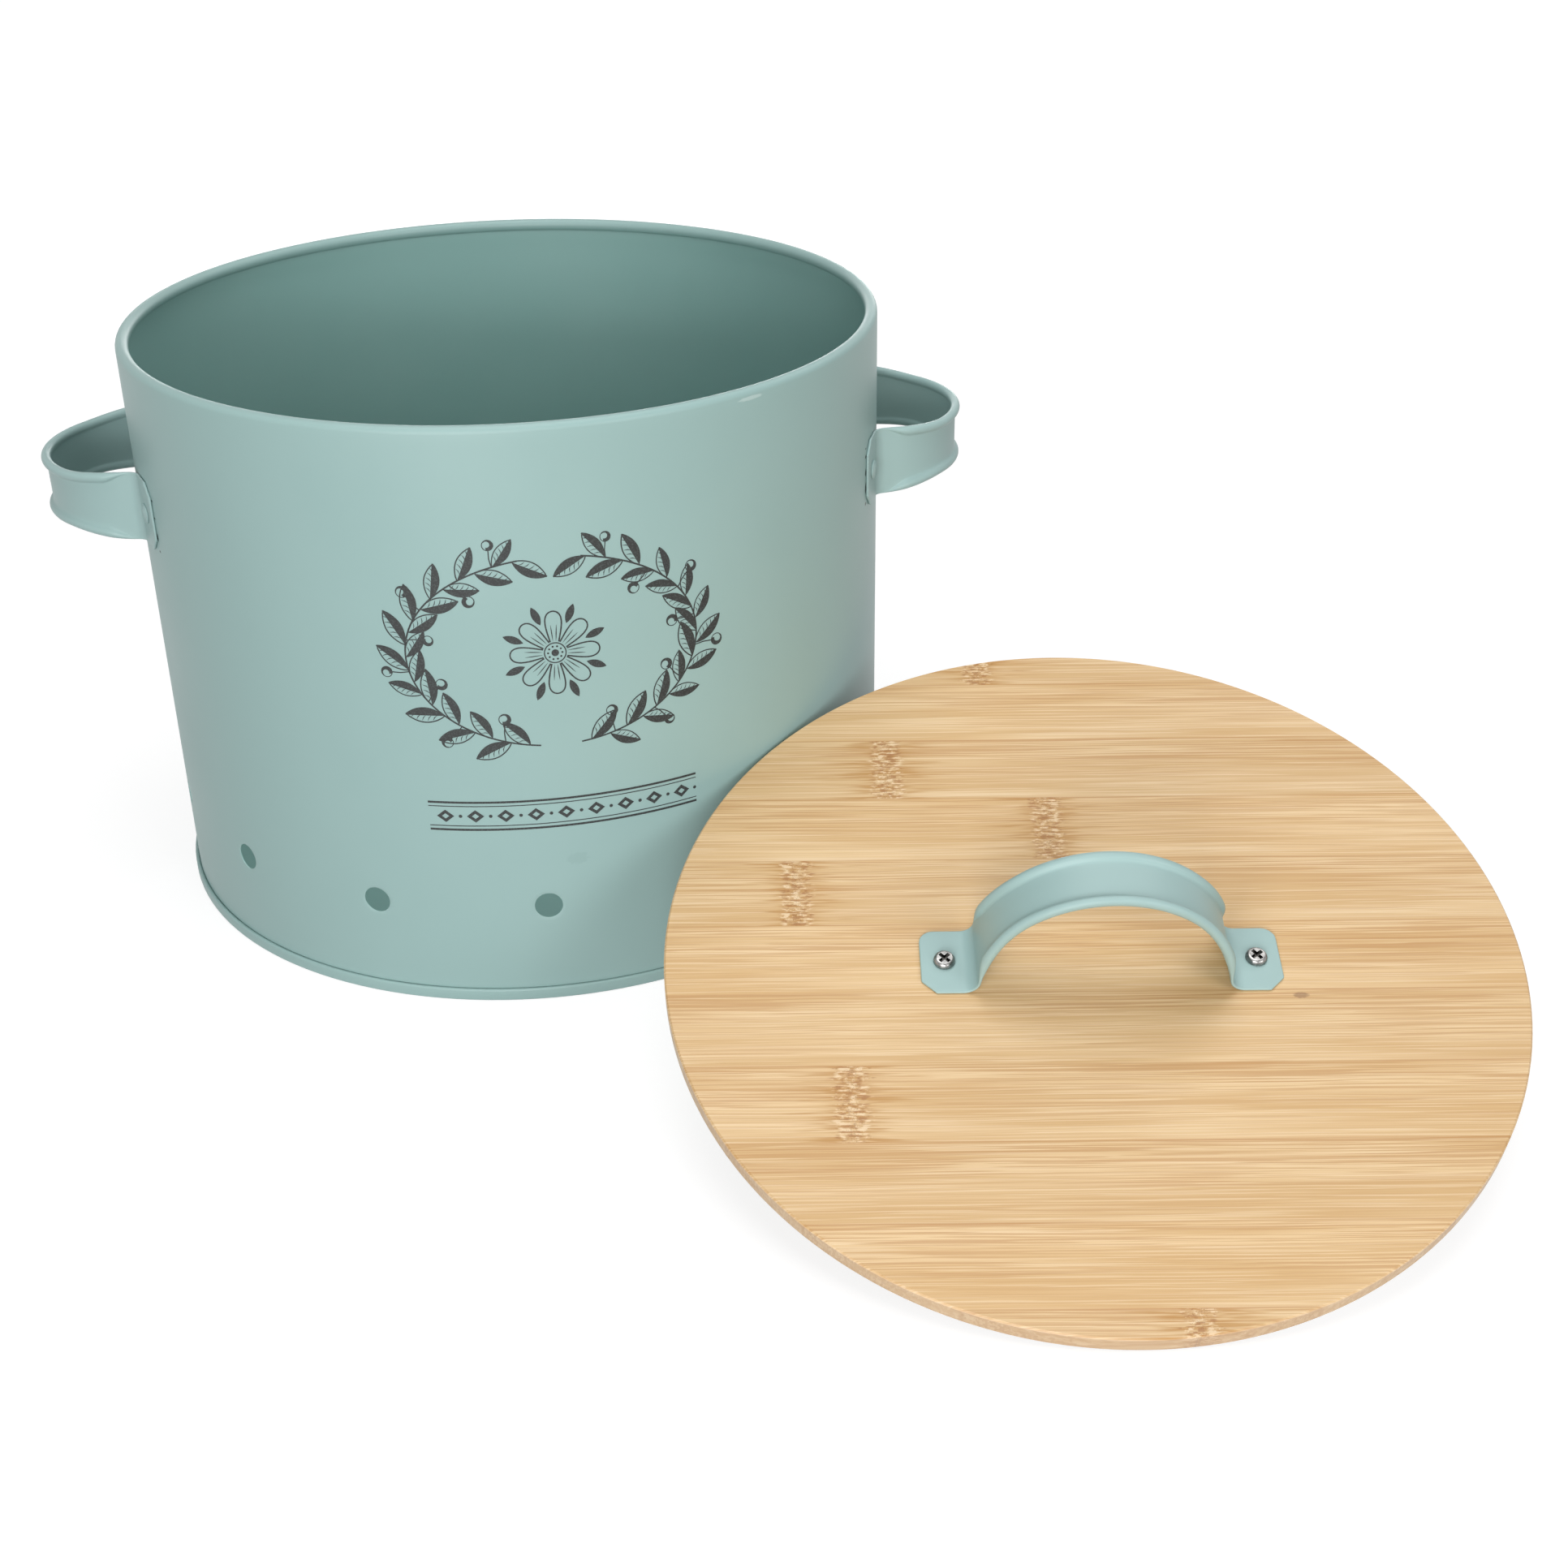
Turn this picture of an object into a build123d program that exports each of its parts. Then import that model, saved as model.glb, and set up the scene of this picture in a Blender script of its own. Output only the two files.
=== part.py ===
from build123d import *
from math import acos, atan2, cos, degrees, radians, sin, sqrt
import os

# Potato storage bin: a round sheet-steel bin with a curled rim, a ring of air holes and a
# double-seamed base, two riveted strap handles, and a bamboo lid with its own strap handle.
# The lid is off and leans against the bin. Millimetres, +Z up, origin on the floor at the
# centre of the base, the bin's handles on +X and -X, its front on -Y.

# ---------------------------------------------------------------- driving dimensions

# Bin
bin_diameter = 240.0          # outside of the straight wall
bin_height = 185.0            # floor to the top of the curled rim
sheet = 0.4                   # steel of the wall and the base
rim_curl_diameter = 4.0       # outside of the inward curl at the rim
rim_curl_turn = 300.0         # degrees that the sheet turns in the curl

# Double seam between wall and base
seam_height = 4.0             # floor to the top of the seam
seam_play = 0.05              # paint-thin gap between the folded layers
seam_corner = 0.4             # centre-line radius of the seam's lower corners

# Base panel
panel_height = 3.6            # floor to the middle of the panel's sheet, at its edge
panel_corner = 0.8            # bend from the seam's inner wall to the panel
panel_rise = 1.4              # pressed step that stiffens the panel
panel_step_radius = 96.0      # where the raised middle begins
panel_step_run = 2.5          # width of the pressed slope
panel_step_bend = 2.0         # bend radius at both edges of the slope

# Ring of air holes
vent_count = 14
vent_diameter = 8.5
vent_height = 33.0            # floor to the hole centres

# Strap handles: one blank, used twice on the bin and once on the lid
strap_sheet = 0.8
strap_blank = 22.0            # width of the flat strap at its feet
strap_bead_diameter = 3.0     # rolled long edges of the arch
strap_bead_reach = 7.8        # strap centre line to the centre of each bead
strap_bead_offset = 0.4       # how far the bead stands off centre, outwards
strap_arch_radius = 35.2      # middle of the sheet in the arch
strap_bend_radius = 4.4       # middle of the sheet between foot and arch
strap_fade_length = 9.0       # arch length over which the rolled edges flatten out
strap_foot_length = 11.4      # from the bend to the end of the foot
strap_hole_from_bend = 4.6    # from the bend to the fixing hole
strap_corner = 4.2            # clipped foot corners
arch_sink_bin = 7.5           # arch centre inside the bin's outside face
arch_rise_lid = 0.3           # arch centre above the lid
handle_height = 138.0         # floor to the middle of the bin's handles
seat_gap = 0.05               # paint between a strap foot, its fixing and what it sits on

# Rivets
rivet_shank_diameter = 3.2
rivet_hole_clearance = 0.1    # on the diameter
rivet_head_diameter = 6.2
rivet_head_edge = 0.35        # thickness at the edge of the domed head
rivet_head_height = 1.1
rivet_tail_diameter = 5.0     # set head inside the bin
rivet_tail_height = 1.0
rivet_tail_chamfer = 0.25

# Bamboo lid
lid_diameter = 242.4
lid_flange = 5.0              # board left above the rebate
lid_step = 2.5                # disc under the flange that drops into the rim
lid_step_clearance = 1.2      # rim curl to that disc, on the radius
lid_edge_bevel = 0.5          # upper edge, eased
strip_count = 11              # edge-glued bamboo strips of one width
blank_over_top = 11.8         # glued blank beyond the lid's uphill edge, cut away
blank_over_foot = 16.1        # the same beyond its downhill edge
lid_handle_across = 1.8       # lid's centre to the handle's middle, along the strips
lid_handle_downhill = 4.0     # the same across the strips

# Lid screws
screw_shank_diameter = 3.0
screw_hole_clearance = 0.1    # on the diameter
screw_length = 7.0            # under the head
screw_point_length = 1.8
screw_pilot_extra = 0.3       # pilot hole beyond the point
screw_head_diameter = 6.2
screw_head_height = 2.2
screw_head_round = 0.9
screw_cross_length = 3.8
screw_cross_width = 0.8
screw_cross_depth = 1.2

# How the lid leans: its low edge on the floor, its far edge near the wall
lid_lean = 18.4               # tilt from level, degrees
lid_fall = -96.7              # compass direction that it slopes down to
lid_bearing = -50.6           # direction from the bin's axis to the lid's centre
lid_turn = -0.9               # strips and handle against level, in the lid's plane
lean_gap = 0.4                # lid to wall

# ---------------------------------------------------------------- derived sizes

bin_radius = bin_diameter / 2
wall_line = bin_radius - sheet / 2                        # middle of the wall's sheet
curl_line = (rim_curl_diameter - sheet) / 2               # middle of the sheet in the curl
curl_centre = (bin_radius - rim_curl_diameter / 2, bin_height - rim_curl_diameter / 2)

layer = sheet + seam_play                                 # pitch of the seam's layers
base_hook_line = wall_line + layer
wall_hook_line = wall_line + 2 * layer
seam_wall_line = wall_line + 3 * layer
chuck_wall_line = wall_line - layer
wall_fold_height = sheet + seam_play + sheet / 2 + layer  # centre of the wall's fold
base_fold_height = seam_height - sheet / 2 - layer        # centre of the base's fold

half_sheet = strap_sheet / 2
bead_radius = strap_bead_diameter / 2
arch_reach = strap_arch_radius + strap_bend_radius        # arch centre to bend centre
fade_angle = degrees(strap_fade_length / strap_arch_radius)
fixing_seat = seat_gap + strap_sheet + seat_gap           # what a foot sits on, to a head
rivet_hole_radius = (rivet_shank_diameter + rivet_hole_clearance) / 2
screw_hole_radius = (screw_shank_diameter + screw_hole_clearance) / 2

lid_radius = lid_diameter / 2
step_radius = bin_radius - rim_curl_diameter - lid_step_clearance
blank_top = lid_radius + blank_over_top
strip_width = (blank_top + lid_radius + blank_over_foot) / strip_count


def compass(angle):
    """Level unit vector at an angle in degrees from +X."""
    return Vector(cos(radians(angle)), sin(radians(angle)), 0)


def facing(outwards, centre):
    """Plane at a point whose normal is level and points outwards, its X up."""
    return Plane(origin=centre, x_dir=(0, 0, 1), z_dir=outwards)


# ---------------------------------------------------------------- plan of a bin handle

# The foot lies on the wall, a bend turns it outwards and the arch runs on from the bend.
foot_line_bin = bin_radius + seat_gap + half_sheet
arch_x_bin = bin_radius - arch_sink_bin
bend_reach = foot_line_bin + strap_bend_radius
bend_x_bin = (bend_reach**2 - arch_reach**2 + arch_x_bin**2) / (2 * arch_x_bin)
bend_y_bin = sqrt(bend_reach**2 - bend_x_bin**2)
foot_start_angle = degrees(atan2(bend_y_bin, bend_x_bin))
foot_turn = degrees(strap_foot_length / foot_line_bin)
rivet_angle = foot_start_angle + degrees(strap_hole_from_bend / foot_line_bin)

rivet_angles = {
    "rivet_right_front": -rivet_angle,
    "rivet_right_rear": rivet_angle,
    "rivet_left_front": 180 + rivet_angle,
    "rivet_left_rear": 180 - rivet_angle,
}
rivet_seats = {
    name: facing(compass(angle), compass(angle) * bin_radius + Vector(0, 0, handle_height))
    for name, angle in rivet_angles.items()
}

# ---------------------------------------------------------------- bin wall

vent_angles = [-90 + i * 360 / vent_count for i in range(vent_count)]

with BuildPart() as bin_wall:
    with BuildSketch(Plane.XZ):
        with BuildLine():
            Line((wall_hook_line, base_fold_height), (wall_hook_line, wall_fold_height))
            CenterArc((base_hook_line, wall_fold_height), layer, 0, -180)
            Line((wall_line, wall_fold_height), (wall_line, curl_centre[1]))
            CenterArc(curl_centre, curl_line, 0, rim_curl_turn)
        trace(line_width=sheet)
    revolve(axis=Axis.Z)
    with Locations(*[facing(compass(angle), (0, 0, vent_height)) for angle in vent_angles]):
        Cylinder(
            vent_diameter / 2,
            bin_diameter,
            align=(Align.CENTER, Align.CENTER, Align.MIN),
            mode=Mode.SUBTRACT,
        )
    with Locations(*rivet_seats.values()):
        Cylinder(rivet_hole_radius, 4 * strap_sheet, mode=Mode.SUBTRACT)
bin_wall.part.label = "bin_wall"

# ---------------------------------------------------------------- base

with BuildPart() as bin_base:
    with BuildSketch(Plane.XZ):
        with BuildLine():
            Line((base_hook_line, wall_fold_height), (base_hook_line, base_fold_height))
            CenterArc((wall_hook_line, base_fold_height), layer, 180, -180)
            FilletPolyline(
                (seam_wall_line, base_fold_height),
                (seam_wall_line, sheet / 2),
                (chuck_wall_line, sheet / 2),
                (chuck_wall_line, panel_height),
                (panel_step_radius + panel_step_run, panel_height),
                (panel_step_radius, panel_height + panel_rise),
                (0, panel_height + panel_rise),
                radius=[seam_corner, seam_corner, panel_corner, panel_step_bend, panel_step_bend],
            )
        trace(line_width=sheet)
    revolve(axis=Axis.Z)
bin_base.part.label = "bin_base"

# ---------------------------------------------------------------- strap handles

# Both sections have X across the strap, Y to its outer side and the same six edges, so
# that the flat one lofts into the rolled one.


def flat_section(plane):
    """The flat strap's section on a plane."""
    edge = strap_blank / 2
    with BuildSketch(plane) as section:
        with BuildLine():
            Polyline(
                (-edge, half_sheet),
                (edge, half_sheet),
                (edge, 0),
                (edge, -half_sheet),
                (-edge, -half_sheet),
                (-edge, 0),
                close=True,
            )
        make_face()
    return section.sketch


def rolled_section(plane):
    """The strap's section on a plane, its long edges rolled into beads."""
    outer_drop = half_sheet - strap_bead_offset
    inner_drop = half_sheet + strap_bead_offset
    outer_reach = sqrt(bead_radius**2 - outer_drop**2)
    inner_reach = sqrt(bead_radius**2 - inner_drop**2)
    start = degrees(atan2(outer_drop, -outer_reach))
    half_roll = (start + degrees(atan2(inner_drop, -inner_reach))) / 2
    right = (strap_bead_reach, strap_bead_offset)
    left = (-strap_bead_reach, strap_bead_offset)
    outer = strap_bead_reach - outer_reach
    inner = strap_bead_reach - inner_reach
    with BuildSketch(plane) as section:
        with BuildLine():
            Line((-outer, half_sheet), (outer, half_sheet))
            CenterArc(right, bead_radius, start, -half_roll)
            CenterArc(right, bead_radius, start - half_roll, -half_roll)
            Line((inner, -half_sheet), (-inner, -half_sheet))
            CenterArc(left, bead_radius, 180 - start + 2 * half_roll, -half_roll)
            CenterArc(left, bead_radius, 180 - start + half_roll, -half_roll)
        make_face()
    return section.sketch


def strap_handle(plane, arch_x, bend, foot):
    """A strap handle, from its half plan.

    In the plane, X runs away from what the handle is fixed to, Y along the strap and Z
    across it. arch_x is the arch centre on X, bend the centre of the bend on the +Y side
    and foot the middle line of the foot, from the bend to its end.
    """
    to_bend = degrees(atan2(bend[1], bend[0] - arch_x))
    foot_start = foot @ 0
    from_bend = degrees(atan2(foot_start.Y - bend[1], foot_start.X - bend[0]))
    bend_turn = (to_bend + 180 - from_bend) % 360
    arch_centre = plane.origin + plane.x_dir * arch_x

    def across_arch(angle):
        outwards = plane.x_dir * cos(radians(angle)) + plane.y_dir * sin(radians(angle))
        return Plane(
            origin=arch_centre + outwards * strap_arch_radius,
            x_dir=plane.z_dir,
            z_dir=plane.z_dir.cross(outwards),
        )

    with BuildPart() as strap:
        with BuildSketch(plane.offset(-strap_blank / 2)):
            with BuildLine():
                add(foot)
                CenterArc(bend, strap_bend_radius, from_bend, bend_turn)
            trace(line_width=strap_sheet)
        extrude(amount=strap_blank)
        foot_end = strap.faces().sort_by(Axis(plane.origin, plane.y_dir))[-1]
        chamfer(foot_end.edges().sort_by(SortBy.LENGTH)[:2], length=strap_corner)
        rolled = rolled_section(across_arch(to_bend - fade_angle))
        loft([flat_section(across_arch(to_bend)), rolled], ruled=True)
        revolve(rolled, Axis(arch_centre, -plane.z_dir), to_bend - fade_angle)
        mirror(about=Plane(origin=plane.origin, x_dir=plane.x_dir, z_dir=plane.y_dir))
    return strap.part


def bin_handle(outwards, seats):
    """A handle on the bin, its feet curved to the wall and drilled for two rivets."""
    strap = strap_handle(
        Plane(origin=(0, 0, handle_height), x_dir=outwards, z_dir=(0, 0, 1)),
        arch_x_bin,
        (bend_x_bin, bend_y_bin),
        CenterArc((0, 0), foot_line_bin, foot_start_angle, foot_turn),
    )
    with BuildPart() as handle:
        add(strap)
        with Locations(*seats):
            Cylinder(rivet_hole_radius, 4 * strap_sheet, mode=Mode.SUBTRACT)
    return handle


right_handle = bin_handle(
    (1, 0, 0), [rivet_seats["rivet_right_front"], rivet_seats["rivet_right_rear"]]
)
right_handle.part.label = "right_handle"

left_handle = bin_handle(
    (-1, 0, 0), [rivet_seats["rivet_left_front"], rivet_seats["rivet_left_rear"]]
)
left_handle.part.label = "left_handle"

# ---------------------------------------------------------------- rivets


def rivet(seat):
    """A rivet through foot and wall: domed head outside, set head inside."""
    head_radius = rivet_head_diameter / 2
    shank_radius = rivet_shank_diameter / 2
    tail_radius = rivet_tail_diameter / 2
    tail_top = -sheet - seat_gap
    tail_end = tail_top - rivet_tail_height
    dome = rivet_head_height - rivet_head_edge
    dome_radius = (head_radius**2 + dome**2) / (2 * dome)
    dome_start = degrees(acos(head_radius / dome_radius))
    crown = fixing_seat + rivet_head_height
    with BuildPart() as body:
        with BuildSketch(Plane(origin=seat.origin, x_dir=seat.x_dir, z_dir=-seat.y_dir)):
            with BuildLine():
                CenterArc((0, crown - dome_radius), dome_radius, dome_start, 90 - dome_start)
                Polyline(
                    (0, crown),
                    (0, tail_end),
                    (tail_radius - rivet_tail_chamfer, tail_end),
                    (tail_radius, tail_end + rivet_tail_chamfer),
                    (tail_radius, tail_top),
                    (shank_radius, tail_top),
                    (shank_radius, fixing_seat),
                    (head_radius, fixing_seat),
                    (head_radius, fixing_seat + rivet_head_edge),
                )
            make_face()
        revolve(axis=Axis(seat.origin, seat.z_dir))
    return body


rivets = {name: rivet(seat) for name, seat in rivet_seats.items()}
for name, body in rivets.items():
    body.part.label = name

# ---------------------------------------------------------------- the lid's place

lean = radians(lid_lean)
lid_normal = compass(lid_fall) * sin(lean) + Vector(0, 0, cos(lean))
lid_across = compass(lid_fall + 90)                       # level in the lid's plane
lid_downhill = lid_across.cross(lid_normal)
lid_along = lid_across * cos(radians(lid_turn)) - lid_downhill * sin(radians(lid_turn))


def reach_past_wall(height, radius):
    """How far out along the bearing a circle of the lid clears the wall.

    The circle is given by its height over the flange's underside and its radius, the
    result is the distance of the underside's centre from the bin's axis.
    """
    bearing = compass(lid_bearing)
    clear_radius = bin_radius + lean_gap
    reach = 0.0
    for turn in range(360):
        point = lid_across * (radius * cos(radians(turn)))
        point += lid_downhill * (radius * sin(radians(turn))) + lid_normal * height
        along = bearing.X * point.X + bearing.Y * point.Y
        beside = bearing.X * point.Y - bearing.Y * point.X
        if abs(beside) < clear_radius:
            reach = max(reach, sqrt(clear_radius**2 - beside**2) - along)
    return reach


lid_distance = max(
    reach_past_wall(lid_flange, lid_radius),
    reach_past_wall(0, lid_radius),
    reach_past_wall(-lid_step, step_radius),
)
lid_lift_off_floor = max(
    lid_radius * sin(lean),
    step_radius * sin(lean) + lid_step * cos(lean),
)
lid_under = Plane(
    origin=compass(lid_bearing) * lid_distance + Vector(0, 0, lid_lift_off_floor),
    x_dir=lid_along,
    z_dir=lid_normal,
)
lid_top = lid_under.offset(lid_flange)
lid_handle_seat = Plane(lid_top * Pos(lid_handle_across, -lid_handle_downhill, 0))

# Plan of the lid handle: X is the lid's normal, Y runs along the strips.
foot_line_lid = seat_gap + half_sheet
bend_x_lid = foot_line_lid + strap_bend_radius
bend_y_lid = sqrt(arch_reach**2 - (bend_x_lid - arch_rise_lid) ** 2)
screw_reach = bend_y_lid + strap_hole_from_bend
screw_seats = {
    "lid_screw_left": Plane(lid_handle_seat * Pos(-screw_reach, 0, fixing_seat)),
    "lid_screw_right": Plane(lid_handle_seat * Pos(screw_reach, 0, fixing_seat)),
}

# ---------------------------------------------------------------- lid board

with BuildPart() as lid_board:
    with BuildSketch(lid_under):
        Circle(lid_radius)
    extrude(amount=lid_flange)
    chamfer(lid_board.edges().group_by(Axis(lid_under.origin, lid_normal))[-1], lid_edge_bevel)
    with BuildSketch(lid_under):
        Circle(step_radius)
    extrude(amount=-lid_step)
    with Locations(*screw_seats.values()):
        Cylinder(
            screw_hole_radius,
            screw_length + screw_pilot_extra,
            align=(Align.CENTER, Align.CENTER, Align.MAX),
            mode=Mode.SUBTRACT,
        )

lid_strips = []
for number in range(1, strip_count + 1):
    strip_middle = blank_top - (number - 0.5) * strip_width
    with BuildPart() as lid_strip:
        add(lid_board.part)
        with BuildSketch(lid_under.offset(-lid_step) * Pos(0, strip_middle)):
            Rectangle(lid_diameter, strip_width)
        extrude(amount=lid_step + lid_flange, mode=Mode.INTERSECT)
    lid_strip.part.label = f"lid_strip_{number:02d}"
    lid_strips.append(lid_strip)

# ---------------------------------------------------------------- lid handle and screws

lid_strap = strap_handle(
    Plane(origin=lid_handle_seat.origin, x_dir=lid_normal, z_dir=lid_normal.cross(lid_along)),
    arch_rise_lid,
    (bend_x_lid, bend_y_lid),
    Line((foot_line_lid, bend_y_lid), (foot_line_lid, bend_y_lid + strap_foot_length)),
)
with BuildPart() as lid_handle:
    add(lid_strap)
    with Locations(*screw_seats.values()):
        Cylinder(screw_hole_radius, 4 * strap_sheet, mode=Mode.SUBTRACT)
lid_handle.part.label = "lid_handle"


def lid_screw(seat, turn):
    """A pan-head wood screw with a cross recess, turned in by an angle."""
    head_radius = screw_head_diameter / 2
    shank_radius = screw_shank_diameter / 2
    with BuildPart() as screw:
        with BuildSketch(Plane(origin=seat.origin, x_dir=seat.x_dir, z_dir=-seat.y_dir)):
            with BuildLine():
                Polyline(
                    (head_radius - screw_head_round, screw_head_height),
                    (0, screw_head_height),
                    (0, -screw_length),
                    (shank_radius, -screw_length + screw_point_length),
                    (shank_radius, 0),
                    (head_radius, 0),
                    (head_radius, screw_head_height - screw_head_round),
                )
                CenterArc(
                    (head_radius - screw_head_round, screw_head_height - screw_head_round),
                    screw_head_round,
                    0,
                    90,
                )
            make_face()
        revolve(axis=Axis(seat.origin, seat.z_dir))
        with BuildSketch(seat.offset(screw_head_height)):
            Rectangle(screw_cross_length, screw_cross_width, rotation=turn)
            Rectangle(screw_cross_width, screw_cross_length, rotation=turn)
        extrude(amount=-screw_cross_depth, mode=Mode.SUBTRACT)
    return screw


lid_screw_left = lid_screw(screw_seats["lid_screw_left"], 20)
lid_screw_left.part.label = "lid_screw_left"
lid_screw_right = lid_screw(screw_seats["lid_screw_right"], 65)
lid_screw_right.part.label = "lid_screw_right"

# ---------------------------------------------------------------- export

pieces = [
    bin_wall,
    bin_base,
    right_handle,
    left_handle,
    *rivets.values(),
    *lid_strips,
    lid_handle,
    lid_screw_left,
    lid_screw_right,
]
os.makedirs("parts", exist_ok=True)
for piece in pieces:
    export_step(piece.part, f"parts/{piece.part.label}.step")
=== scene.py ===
"""Potato storage bin in sage enamel, its bamboo lid leaning against it at the front right.

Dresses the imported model: the sheet-steel pieces get their fine forms, the bamboo strips their
grain and knots, the wall's front a printed wreath, and a plain white studio stands around them.
Sizes are in millimetres and angles in degrees.
"""

import logging
from collections.abc import Iterable, Sequence
from dataclasses import dataclass, field
from enum import Enum
from math import acos, asin, atan2, cos, degrees, pi, radians, sin, sqrt, tan
from typing import Any

import bmesh
import bpy
from mathutils import Matrix, Vector


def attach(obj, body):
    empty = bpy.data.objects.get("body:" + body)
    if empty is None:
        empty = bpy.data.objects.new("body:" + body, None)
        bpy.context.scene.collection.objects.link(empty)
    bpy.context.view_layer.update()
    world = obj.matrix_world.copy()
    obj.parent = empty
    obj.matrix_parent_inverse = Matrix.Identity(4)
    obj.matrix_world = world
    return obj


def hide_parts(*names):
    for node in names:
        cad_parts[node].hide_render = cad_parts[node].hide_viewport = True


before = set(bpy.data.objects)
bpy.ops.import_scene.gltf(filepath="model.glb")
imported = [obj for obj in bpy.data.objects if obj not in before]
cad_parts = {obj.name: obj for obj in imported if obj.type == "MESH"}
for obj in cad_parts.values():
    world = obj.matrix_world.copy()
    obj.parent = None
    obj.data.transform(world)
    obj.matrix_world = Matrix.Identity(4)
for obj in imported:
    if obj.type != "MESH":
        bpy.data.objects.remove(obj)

LOG = logging.getLogger("storage_bin")
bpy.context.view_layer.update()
MM = 0.001
WELD = 0.002 * MM

Point = tuple[float, float]
Place = tuple[float, float, float]
Colour = tuple[float, float, float]
Feeds = dict[str | int, Any]
Faces = list[tuple[int, ...]]
Material = bpy.types.Material
Object = bpy.types.Object
Tree = bpy.types.NodeTree


class Body(Enum):
    """The bodies that pieces ride on."""

    BIN = "bin"
    LID = "lid"


class Slot(Enum):
    """The record's material slots."""

    PAINT = "sage_paint"
    ZINC = "zinc_plate"


class Corner(Enum):
    """How a strap foot's corner is finished."""

    CLIPPED = "cut off straight"
    ROUNDED = "rounded"


class Socket(Enum):
    """The kinds of value that a tree takes, with the names that each goes by. The rest are numbers."""

    NodeSocketGeometry = ("Piece",)
    NodeSocketInt = ("Count", "Seed")
    NodeSocketVector = ("Vector", "Lid Place", "Lid Turn")
    NodeSocketMaterial = ("Finish",)

    @classmethod
    def of(cls, name: str) -> str:
        """The socket type that goes with a name."""
        return next((kind.name for kind in cls if name in kind.value), "NodeSocketFloat")


# ---------------------------------------------------------------- node trees


@dataclass(frozen=True)
class Wire:
    """A value in a node tree. Arithmetic on it adds Math nodes."""

    wiring: "Wiring"
    socket: bpy.types.NodeSocket

    def math(self, operation: str, *others: Any) -> "Wire":
        """The result of an operation on this value and others."""
        return self.wiring.add("ShaderNodeMath", dict(enumerate((self, *others))), operation=operation)

    def __add__(self, other: Any) -> "Wire":
        """The sum."""
        return self.math("ADD", other)

    def __sub__(self, other: Any) -> "Wire":
        """The difference."""
        return self.math("SUBTRACT", other)

    def __mul__(self, other: Any) -> "Wire":
        """The product."""
        return self.math("MULTIPLY", other)

    def __truediv__(self, other: Any) -> "Wire":
        """The quotient."""
        return self.math("DIVIDE", other)

    def length(self) -> "Wire":
        """The length of a vector."""
        return self.wiring.add("ShaderNodeVectorMath", {0: self}, "Value", operation="LENGTH")

    def split(self) -> list["Wire"]:
        """A vector's X, Y and Z."""
        return list(self.wiring.outputs("ShaderNodeSeparateXYZ", {0: self}).values())

    def ease(self, start: float, end: float, low: Any = 0.0, high: Any = 1.0, how: str = "SMOOTHSTEP") -> "Wire":
        """Goes from low to high while this value goes from start to end.

        Args:
            start: Where the change starts.
            end: Where it ends.
            low: The result up to start.
            high: The result from end on.
            how: The kind of change.

        Returns:
            The result.
        """
        feeds = {0: self, 1: start, 2: end, 3: low, 4: high}
        return self.wiring.add("ShaderNodeMapRange", feeds, interpolation_type=how)


class Wiring:
    """Adds nodes to one node tree and joins their sockets."""

    def __init__(self, tree: Tree) -> None:
        """Keeps the tree that the nodes go into."""
        self.tree = tree

    def node(self, kind: str, feeds: Feeds | None = None, **settings: Any) -> bpy.types.Node:
        """Adds a node.

        Args:
            kind: Its type.
            feeds: What each input gets, by name or number: a wire or a plain value.
            settings: Its own properties.

        Returns:
            The node.
        """
        node = self.tree.nodes.new(kind)
        for name, setting in settings.items():
            setattr(node, name, setting)
        for key, value in (feeds or {}).items():
            if isinstance(value, Wire):
                self.tree.links.new(value.socket, node.inputs[key])
            else:
                node.inputs[key].default_value = value
        return node

    def add(self, kind: str, feeds: Feeds | None = None, out: int | str = 0, **settings: Any) -> Wire:
        """Adds a node and gives one of its outputs."""
        return Wire(self, self.node(kind, feeds, **settings).outputs[out])

    def outputs(self, kind: str, feeds: Feeds | None = None, **settings: Any) -> dict[str, Wire]:
        """Adds a node and gives its outputs by name."""
        return {socket.name: Wire(self, socket) for socket in self.node(kind, feeds, **settings).outputs}

    def combine(self, x: Any = 0.0, y: Any = 0.0, z: Any = 0.0) -> Wire:
        """Joins three numbers into a vector."""
        return self.add("ShaderNodeCombineXYZ", {0: x, 1: y, 2: z})

    def noise(self, vector: Wire, scale: float = 1.0, detail: float = 2.0, rough: float = 0.5) -> Wire:
        """A Noise Texture's value, around 0.5."""
        return self.add("ShaderNodeTexNoise", {"Vector": vector, "Scale": scale, "Detail": detail, "Roughness": rough})

    def blend(self, mask: Wire, below: Wire | Colour, above: Colour) -> Wire:
        """Lays a colour over another where the mask shows it."""
        below = below if isinstance(below, Wire) else (*below, 1)
        return self.add("ShaderNodeMix", {0: mask, 6: below, 7: (*above, 1)}, 2, data_type="RGBA")

    def bump(self, height: Wire, distance: float, strength: float, **before: Wire) -> Wire:
        """A normal bumped by a height, where 1 is a distance in millimetres, on top of one before it."""
        return self.add("ShaderNodeBump", {"Height": height, "Distance": distance * MM, "Strength": strength, **before})

    def place(self, centre: Place = (0, 0, 0), turn: Place = (0, 0, 0), unit: Place = (1, 1, 1)) -> Wire:
        """Object coordinates measured from a place on the object.

        Args:
            centre: The place, in millimetres.
            turn: How the pattern's axes are turned, as Euler angles in radians.
            unit: The length that counts as one along each axis, in millimetres.

        Returns:
            The coordinates.
        """
        here = self.add("ShaderNodeTexCoord", out="Object")
        spot, scale = (tuple(value * MM for value in values) for values in (centre, unit))
        feeds = {"Vector": here, "Location": spot, "Rotation": turn, "Scale": scale}
        return self.add("ShaderNodeMapping", feeds, vector_type="TEXTURE")


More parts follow.
